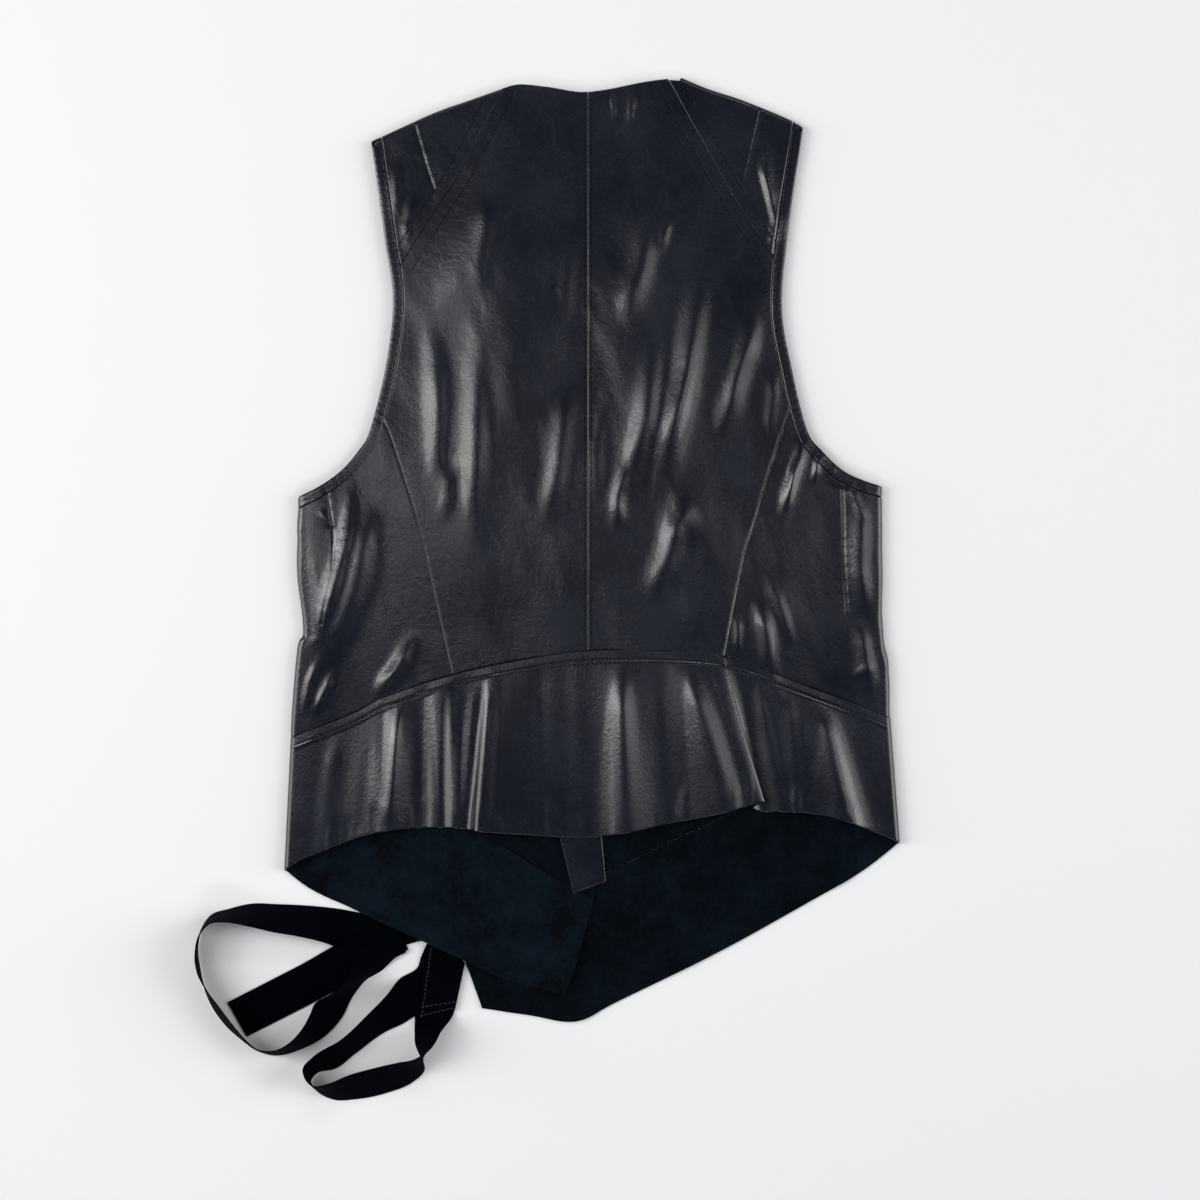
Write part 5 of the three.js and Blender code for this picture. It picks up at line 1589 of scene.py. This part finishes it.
@dataclass
class Fronts:
    """The two wrapping fronts beneath: hidden bodices, and flared parts with the flesh side up."""

    finishes: Finishes
    wrap_lift: float = 1.5
    wrap_ramp: float = 28.0
    wrap_lead: float = 12.0
    # The tie's room: from where to where across, from where down, how high and how steep
    tie_left: float = -164.0
    tie_right: float = -78.0
    tie_top: float = -176.0
    tie_room: float = 4.7
    tie_ramp: float = 22.0
    curl: float = 3.4
    curl_width: float = 15.0
    curl_top: float = -186.0
    curl_ramp: float = 26.0
    arm_inset: float = BAND_WIDTH + 0.9
    flare_size: tuple[float, float] = (260.0, 85.0)
    flare_gap: float = 0.02
    # How far in the stitch rows lie, and the grid row and column where that is read
    hem_inset: float = 5.2
    edge_inset: float = 2.2
    probe: tuple[int, int] = (30, 40)

    def lift(self, side: Side, plan: np.ndarray) -> np.ndarray:
        """How far the left front rises over the right front's edge and over the tie."""
        x, y = plan[..., 0], plan[..., 1]
        if side is not LEFT:
            return np.zeros(x.shape)
        lap = read(np.vstack([plan_line(RIGHT.front_edge), plan_line(RIGHT.wrap_edge)]), 1, y)
        over = self.wrap_lift * soft((x - lap + self.wrap_lead + self.wrap_ramp) / self.wrap_ramp)
        ramp = self.tie_ramp
        room = soft((x - self.tie_left + ramp) / ramp) * soft((self.tie_right + ramp - x) / ramp)
        return np.maximum(over, self.tie_room * room * soft((self.tie_top + ramp - y) / ramp))

    def bodice(self, side: Side, name: str) -> None:
        """Makes one hidden bodice, a plain patch between its seams.

        Args:
            side: Which side.
            name: The bodice's name.
        """
        arm = beside(plan_line(side.armhole), side.sign * self.arm_inset)
        low_x = side.fold_foot - side.sign * (UNDER_WIDTH + SEAM_GAP)
        high_x = side.fold_arm - side.sign * (UNDER_WIDTH + SEAM_GAP)
        low = float(read(side.waist, 0, low_x)) + SEAM_GAP / 2
        corner = float(read(arm, 0, high_x))
        high = side.armhole[-1][1] + BAND_WIDTH / 2 - YOKE_UNDER - SEAM_GAP
        y = np.concatenate([np.linspace(low, corner, 50)[:-1], np.linspace(corner, high, 70)])
        seam = low_x + (high_x - low_x) * np.clip((y - SIDE_FOOT) / (ARM_LEVEL - SIDE_FOOT), 0, 1)
        outside = np.stack([np.where(y < corner, seam, read(arm, 1, y)), y], axis=1)
        u, v = np.linspace(0, 1, 60), (y - low) / (high - low)
        foot = side.wrap_edge[0][1] + SEAM_GAP / 2
        inside = at_y(plan_line(side.wrap_edge), foot + (side.wrap_edge[-1][1] - SEAM_GAP - foot) * v)
        bottom = at_x(side.waist, inside[0, 0] + (outside[0, 0] - inside[0, 0]) * u, SEAM_GAP / 2)
        bottom[0] = inside[0]
        plan = coons(bottom, between(inside[-1], outside[-1], u), inside, outside, u, v)
        base = self.lift(side, plan)
        # The hidden bodice takes the darker flesh copy, which is painted shade
        self.cloth(name, Slot.LEATHER, self.finishes.shaded, plan, base, base + LEATHER)

    def cloth(self, name: str, slot: Slot, nap: bpy.types.Material, plan: np.ndarray, base: np.ndarray,
              face: np.ndarray) -> np.ndarray:
        """Makes one part with its flesh side up and its nappa side down.

        Args:
            name: The part's name, which its CAD node has too.
            slot: Its material slot.
            nap: The flesh side's finish.
            plan: The plan grid.
            base: Heights of the lower face.
            face: Heights of the upper face.

        Returns:
            The upper face's grid.
        """
        upper = raised(plan, face)
        piece = shell(name + "_leather", upper, raised(plan, base))
        self.finishes.dress(piece, slot, nap, name)
        self.finishes.line(piece, upper.shape[:2], self.finishes.nappa)
        lay_sheet(upper)
        return upper

    def flare(self, side: Side, name: str) -> np.ndarray:
        """Makes one flared part, with a sewn ridge along its waist seam and a pressed hem.

        Args:
            side: Which side.
            name: The part's name.

        Returns:
            The upper face's grid.
        """
        reach = side.sign * (UNDER_WIDTH + self.flare_gap)
        start, hem_start = side.fold_foot - reach, side.silhouette[0][0] - reach
        u, v = shares(self.flare_size[0], 2.4), shares(self.flare_size[1], 2.2)
        top = at_x(side.waist, start + (side.front_waist[-1][0] - start) * u, -SEAM_GAP / 2)
        bottom = at_x(side.hem, hem_start + (side.front_hem[-1][0] - hem_start) * u)
        free = at_y(plan_line(side.front_edge), bottom[-1, 1] + (top[-1, 1] - bottom[-1, 1]) * v)
        free[0], free[-1] = bottom[-1], top[-1]
        plan = coons(bottom, top, between(bottom[0], top[0], v), free, u, v)
        near, far, low, high = edge_depths(plan)
        wave = self.sway(plan, side) * soft((near - 2) / 12) * soft((high - 2) / 10)
        base = self.lift(side, plan) + np.maximum(wave, 0.0)
        if side is LEFT:
            fade = soft((self.curl_top - plan[..., 1]) / self.curl_ramp)
            base = base + self.curl * (bell(far, self.curl_width) * fade)
        turned = 0.35 * (1 - soft((low - 6.0) / 1.2)) * soft(near / 2)
        groove = 0.18 * bell(low - self.hem_inset, 0.9)
        ridge = 0.9 * (1 - soft((high - 8.0) / 1.6)) + 0.2 * (1 - soft((near - 7.0) / 1.6))
        drop = np.minimum(rounding(low, 0.7) + rounding(far, 0.7), 0.8)
        face = base + LEATHER + turned - groove + ridge - drop
        # The right front beneath the left takes the darker flesh copy: painted shade
        nap = self.finishes.flesh if side is LEFT else self.finishes.shaded
        return self.cloth(name, Slot.SUEDE, nap, plan, base, face)

    def sway(self, plan: np.ndarray, side: Side) -> np.ndarray:
        """Low broad waves of the free hem, two sine sums across the part."""
        x, y = plan[..., 0], plan[..., 1]
        return 0.9 * np.sin(x / 21.0 + y / 60.0 + side.sign) + 0.5 * np.sin(x / 9.5 - y / 33.0)

    def stitch(self, faces: list[np.ndarray]) -> None:
        """Sews each hem and each free front edge just inside its fold."""
        paths = []
        for upper in faces:
            _, far, low, _ = edge_depths(upper[..., :2])
            row = int(np.abs(low[:, self.probe[1]] - self.hem_inset).argmin())
            column = int(np.abs(far[self.probe[0]] - self.edge_inset).argmin())
            paths += [each_mm(upper[row, 6:-3]), each_mm(upper[4:-4, column])]
        self.finishes.sew("hem_stitches", paths, Slot.SUEDE)


@dataclass
class Strip:
    """A flat strip: its lower and upper edges' ends, its base, and its rows of stitches."""

    finishes: Finishes
    name: str
    slot: Slot
    low: Pairs
    high: Pairs
    base: float
    # Along which edge each row runs, and how far in
    rows: tuple[tuple[str, float], ...]

    def build(self) -> None:
        """Makes the strip, a little uneven, with a groove and a row of stitches for each row."""
        foot, head = np.array(self.low, float), np.array(self.high, float)
        u = shares(float(np.linalg.norm(foot[1] - foot[0])), 1.2)
        v = shares(float(np.linalg.norm(head[0] - foot[0])), 1.4)
        plan = coons(between(foot[0], foot[1], u), between(head[0], head[1], u),
                     between(foot[0], head[0], v), between(foot[1], head[1], v), u, v)
        depths = dict(zip(("left", "right", "low", "high"), edge_depths(plan)))
        face = self.base + LEATHER + 0.15 * np.sin(depths["left"] / 5.0 + depths["low"] / 11.0)
        for edge, inset in self.rows:
            face = face - 0.2 * bell(depths[edge] - inset, 0.9)
        drop = np.minimum(sum(rounding(depth, 0.6, 1.2) for depth in depths.values()), 0.7)
        upper = raised(plan, face - drop)
        lower = raised(plan, np.full(plan.shape[:2], self.base))
        piece = shell(f"{self.name}_{self.slot.value}", upper, lower, uv=(plan - foot[0]) * MM)
        leather = self.slot is Slot.LEATHER
        self.finishes.dress(piece, self.slot, self.finishes.nappa if leather else self.finishes.twill,
                            self.name)
        lay_sheet(upper)
        paths = [each_mm(self.row_at(upper, depths[edge], edge, inset)) for edge, inset in self.rows]
        self.finishes.dress(STITCH.sew(self.name + "_stitches", paths), self.slot,
                            self.finishes.thread if leather else self.finishes.pale)

    def row_at(self, upper: np.ndarray, depth: np.ndarray, edge: str, inset: float) -> np.ndarray:
        """The grid line that lies nearest to a distance in from one edge."""
        if edge in ("left", "right"):
            return upper[2:-2, int(np.abs(depth[len(depth) // 2] - inset).argmin())]
        return upper[int(np.abs(depth[:, depth.shape[1] // 2] - inset).argmin()), 2:-2]


class Raised(Enum):
    """Which edge of the tape stands up."""

    NONE = 0
    A = 1
    B = 2


# The tie's rows: plan points of edge A and edge B, then the height of the lower edge
TIE_ROWS = (
    (Raised.NONE, (
        (-130.0, -262.2, -103.4, -256.1, 2.1), (-131.1, -282.7, -103.4, -276.6, 2.1),
    )),
    (Raised.B, (
        (-131.9, -291.1, -111.7, -288.0, 0.8), (-131.5, -299.4, -114.8, -294.1, 0.5),
        (-127.7, -308.6, -120.1, -300.2, 0.5), (-124.6, -317.7, -129.2, -306.3, 0.5),
        (-133.8, -328.3, -142.9, -310.1, 0.5), (-154.3, -336.7, -159.6, -314.3, 0.5),
        (-177.1, -341.2, -180.9, -320.0, 0.5), (-194.6, -341.2, -196.1, -325.7, 0.5),
        (-206.0, -335.2, -206.0, -326.8, 0.5), (-211.3, -327.6, -212.0, -321.5, 0.5),
        (-206.7, -321.5, -214.3, -314.6, 0.5), (-193.8, -318.4, -207.5, -305.9, 0.5),
        (-177.1, -306.3, -186.2, -292.6, 0.5), (-155.0, -290.3, -165.7, -273.6, 0.5),
        (-140.6, -283.5, -152.0, -259.9, 0.5),
    )),
    (Raised.NONE, (
        (-129.2, -275.9, -143.6, -250.0, 0.5), (-112.5, -265.2, -130.0, -241.7, 0.5),
        (-103.4, -250.8, -126.9, -232.6, 1.3), (-96.5, -237.1, -122.4, -222.7, 2.1),
        (-89.7, -225.0, -112.5, -205.2, 2.1), (-84.4, -215.8, -101.8, -187.7, 2.1),
        (-82.8, -215.1, -100.3, -187.0, 2.75), (-84.4, -215.8, -101.8, -187.7, 3.4),
        (-101.1, -216.6, -110.2, -187.7, 3.4), (-118.6, -218.1, -121.6, -188.5, 3.4),
        (-126.2, -219.6, -128.4, -190.8, 1.9), (-133.8, -221.9, -135.3, -193.0, 0.5),
        (-154.3, -227.2, -152.8, -197.6, 0.5), (-173.3, -229.1, -172.5, -199.5, 0.5),
        (-188.5, -226.5, -187.7, -196.8, 0.5),
    )),
    (Raised.A, (
        (-200.6, -219.6, -199.1, -195.3, 0.5), (-218.9, -214.7, -217.4, -193.8, 0.5),
        (-237.1, -211.3, -236.4, -193.0, 0.5), (-256.9, -206.3, -256.9, -192.7, 0.5),
        (-272.1, -203.3, -272.8, -196.5, 0.5), (-284.2, -204.4, -286.5, -201.0, 0.5),
        (-291.8, -212.8, -294.1, -211.3, 0.5), (-294.9, -225.7, -297.2, -225.0, 0.5),
        (-293.4, -240.9, -295.6, -241.7, 0.5), (-286.5, -254.6, -291.8, -257.6, 0.5),
        (-276.6, -268.3, -285.0, -272.8, 0.5), (-266.8, -281.2, -275.1, -285.8, 0.5),
        (-256.9, -292.6, -264.5, -295.3, 0.5), (-247.8, -299.4, -252.3, -304.0, 0.5),
        (-236.4, -300.2, -237.1, -307.8, 0.5), (-225.0, -294.9, -218.9, -303.2, 0.5),
        (-215.1, -284.2, -199.9, -292.6, 0.5), (-209.8, -274.4, -187.0, -278.2, 0.5),
        (-206.0, -266.0, -180.9, -266.0, 0.5), (-193.8, -258.4, -174.8, -256.9, 0.5),
        (-182.4, -248.5, -168.7, -250.0, 0.9), (-177.1, -236.4, -157.3, -243.2, 2.6),
        (-168.7, -221.2, -146.7, -233.3, 3.2),
    )),
    (Raised.NONE, (
        (-158.8, -211.3, -140.6, -227.2, 3.2), (-150.5, -201.4, -139.1, -227.2, 3.2),
        (-148.6, -200.6, -137.2, -226.5, 2.5), (-150.5, -201.4, -139.1, -227.2, 1.8),
        (-164.2, -210.5, -152.0, -235.6, 1.8), (-190.0, -222.7, -177.1, -249.3, 1.8),
        (-215.1, -237.1, -202.2, -263.7, 0.5), (-245.5, -253.1, -231.8, -278.9, 0.5),
        (-274.4, -267.9, -259.9, -293.4, 0.5),
    )),
)


@dataclass
class Tie:
    """The twill tape: out from under its tab, round two standing loops to its cut end."""

    finishes: Finishes
    width: float = 30.0
    wall: float = 1.0
    step: float = 1.6
    shortest: float = 0.3
    clearance: float = 0.02
    # Shares across, closer together at the selvedges
    across: tuple[float, ...] = (0, 0.012, 0.03, 0.06, 0.15, 0.3, 0.5, 0.7, 0.85, 0.94, 0.97, 0.988, 1.0)

    def edges(self) -> tuple[np.ndarray, np.ndarray]:
        """Both edges: a tilted row keeps the tape's width, by Pythagoras, in its height."""
        table = np.concatenate([np.array(rows) for _, rows in TIE_ROWS])
        stands = [edge for edge, rows in TIE_ROWS for _ in rows]
        a, b, base = table[:, 0:2], table[:, 2:4], table[:, 4]
        up = [np.array([one is edge for one in stands]) for edge in (Raised.A, Raised.B)]
        reach = np.linalg.norm(b - a, axis=1)
        flat = ~(up[0] | up[1]) | (reach >= self.width)
        spare = np.where(flat, (1 - self.width / reach) / 2, 0)[:, None]
        height = np.where(flat, 0, np.sqrt(np.maximum(self.width**2 - reach**2, 0)))
        first = raised(a + (b - a) * spare, base + height * up[0])
        second = raised(b - (b - a) * spare, base + height * up[1])
        return first, second

    def smooth(self) -> tuple[np.ndarray, np.ndarray]:
        """Both edges at an even step, on cubics through the rows."""
        edges = self.edges()
        chord = np.linalg.norm(np.diff((edges[0] + edges[1]) / 2, axis=0), axis=1)
        chord = np.maximum(chord, self.shortest)
        run = np.concatenate([[0.0], np.cumsum(chord)])
        at = np.linspace(0, chord.sum(), int(chord.sum() / self.step))
        span = np.clip(np.searchsorted(run, at, side="right") - 1, 0, len(chord) - 1)
        t = (at - run[span])[:, None] / chord[span][:, None]
        return weighed_cubic(edges[0], chord, span, t), weighed_cubic(edges[1], chord, span, t)

    def build(self) -> float:
        """Makes the tape with its selvedges and returns its length in millimetres."""
        a, b = self.smooth()
        across = np.array(self.across)
        middle = a[:, None] + (b - a)[:, None] * across[None, :, None]
        normal = unit(np.cross(np.gradient(middle, axis=0), (b - a)[:, None]))
        edge = np.minimum(across, 1 - across) * self.width
        half = self.wall / 2 * (1 - 0.45 * np.clip(1 - edge / 0.5, 0, 1) ** 2)
        half = (half - 0.07 * bell(edge - 1.6, 0.5))[None, :, None]
        outer, inner = middle + normal * half, middle - normal * half
        floor = np.minimum(outer[..., 2], inner[..., 2])
        lift = np.maximum(self.clearance - floor, 0)[..., None] * np.array([0.0, 0.0, 1.0])
        run = lengths((a + b) / 2)
        uv = np.stack(np.broadcast_arrays(across[None] * self.width * MM, run[:, None] * MM), axis=-1)
        piece = shell("tie_tape", outer + lift, inner + lift, uv=uv)
        self.finishes.dress(piece, Slot.TWILL, self.finishes.twill, "tie")
        length = float(run[-1])
        return length


@dataclass(frozen=True)
class Lamp:
    """One soft box that looks at the vest: its place and size in metres, and its watts."""

    name: str
    at: tuple[float, float, float]
    size: tuple[float, float]
    watts: float

    def hang(self) -> None:
        """Makes the box and turns it to the vest."""
        data = bpy.data.lights.new(self.name, "AREA")
        data.shape = "RECTANGLE"
        data.size, data.size_y = self.size
        data.energy = self.watts
        lamp = link(self.name, data)
        lamp.location = self.at
        lamp.rotation_euler = (-Vector(self.at)).to_track_quat("-Z", "Y").to_euler()


@dataclass
class Studio:
    """The pale floor, the soft lights and the camera straight above."""

    floor_size: float = 6.0
    floor_drop: float = 0.0004
    # The middle of the view and the height at which its width is measured, in plan millimetres
    centre: tuple[float, float] = (9.1, 38.8)
    level: float = 5.0
    view_width: float = 912.0
    lens: float = 85.0
    sensor: float = 36.0
    sky: tuple[float, float, float, float] = (0.60, 0.76, 1.0, 1.0)
    sky_strength: float = 0.09
    lamps: tuple[Lamp, ...] = (
        Lamp("box_left", (-1.45, 0.32, 1.95), (0.46, 1.6), 19.0),
        Lamp("box_right", (1.52, 0.28, 1.95), (0.75, 1.5), 7.0),
        Lamp("box_neck", (0.1, 1.75, 1.9), (1.2, 0.35), 8.0),
        Lamp("box_hem", (0.0, -1.8, 1.8), (1.2, 0.32), 7.0),
        Lamp("glow_left", (-0.46, 0.25, 2.1), (0.14, 0.8), 1.3),
        Lamp("glow_right", (0.66, 0.2, 2.1), (0.18, 0.7), 0.5),
        Lamp("fill_left", (-3.2, 0.0, 1.5), (2.0, 3.2), 70.0),
        Lamp("fill_right", (3.2, 0.0, 1.5), (2.0, 3.2), 70.0),
    )

    def floor(self) -> None:
        """Lays the floor just under the vest."""
        bpy.ops.mesh.primitive_plane_add(size=self.floor_size, location=(0.0, 0.0, -self.floor_drop))
        plane = bpy.context.object
        plane.name = "floor"
        plane.data.materials.append(Paper().make())

    def camera(self) -> None:
        """Hangs the camera straight above, so that its frame is the photograph's."""
        data = bpy.data.cameras.new("camera")
        data.lens = self.lens
        data.sensor_width = self.sensor
        height = self.view_width * self.lens / self.sensor * MM
        spot = PLACE.metres(np.array([*self.centre, self.level]))
        camera = link("camera", data)
        camera.location = (spot[0], spot[1], height + spot[2])
        bpy.context.scene.camera = camera

    def room(self) -> None:
        """Fills the room with a faint blue light."""
        world = bpy.data.worlds.new("room")
        world.use_nodes = True
        back = world.node_tree.nodes["Background"]
        back.inputs["Color"].default_value = self.sky
        back.inputs["Strength"].default_value = self.sky_strength
        bpy.context.scene.world = world

    def build(self) -> None:
        """Builds the whole set."""
        self.floor()
        self.camera()
        for lamp in self.lamps:
            lamp.hang()
        self.room()
        bpy.context.scene.view_settings.view_transform = "Standard"


def both(build: Callable[[Side, str], np.ndarray | None], stem: str) -> list[np.ndarray | None]:
    """Builds a piece for the left side and one for the right, named by their side's word."""
    return [build(side, f"{stem}_{side.word}") for side in (LEFT, RIGHT)]


def main() -> None:
    """Builds the studio and every sub-assembly in order."""
    logging.basicConfig(level=logging.INFO, format="%(name)s %(message)s")
    Studio().build()
    finishes = Finishes()
    backs = BackPanels(finishes)
    both(backs.build, "back")
    backs.stitch()
    both(SidePanels(finishes).build, "side")
    both(Yokes(finishes).build, "yoke")
    both(ArmholeBands(finishes).build, "armhole_band")
    Peplum(finishes).build()
    fronts = Fronts(finishes)
    both(fronts.bodice, "front")
    fronts.stitch(both(fronts.flare, "front_peplum"))
    Strip(finishes, "front_facing", Slot.LEATHER, [(-11.4, -184.7), (13.7, -175.6)],
          [(-31.5, -100), (6.5, -100)], 3.0, (("right", 2.0), ("low", 2.0))).build()
    Strip(finishes, "tie_tab", Slot.TWILL, [(-129.2, -280.4), (-101.1, -272.8)],
          [(-121.6, -222.7), (-93.5, -237.1)], 3.1, (("low", 2.0), ("low", 8.5), ("left", 2.0))).build()
    LOG.info("tie: %.0f mm long", Tie(finishes).build())


if __name__ == "__main__":
    main()
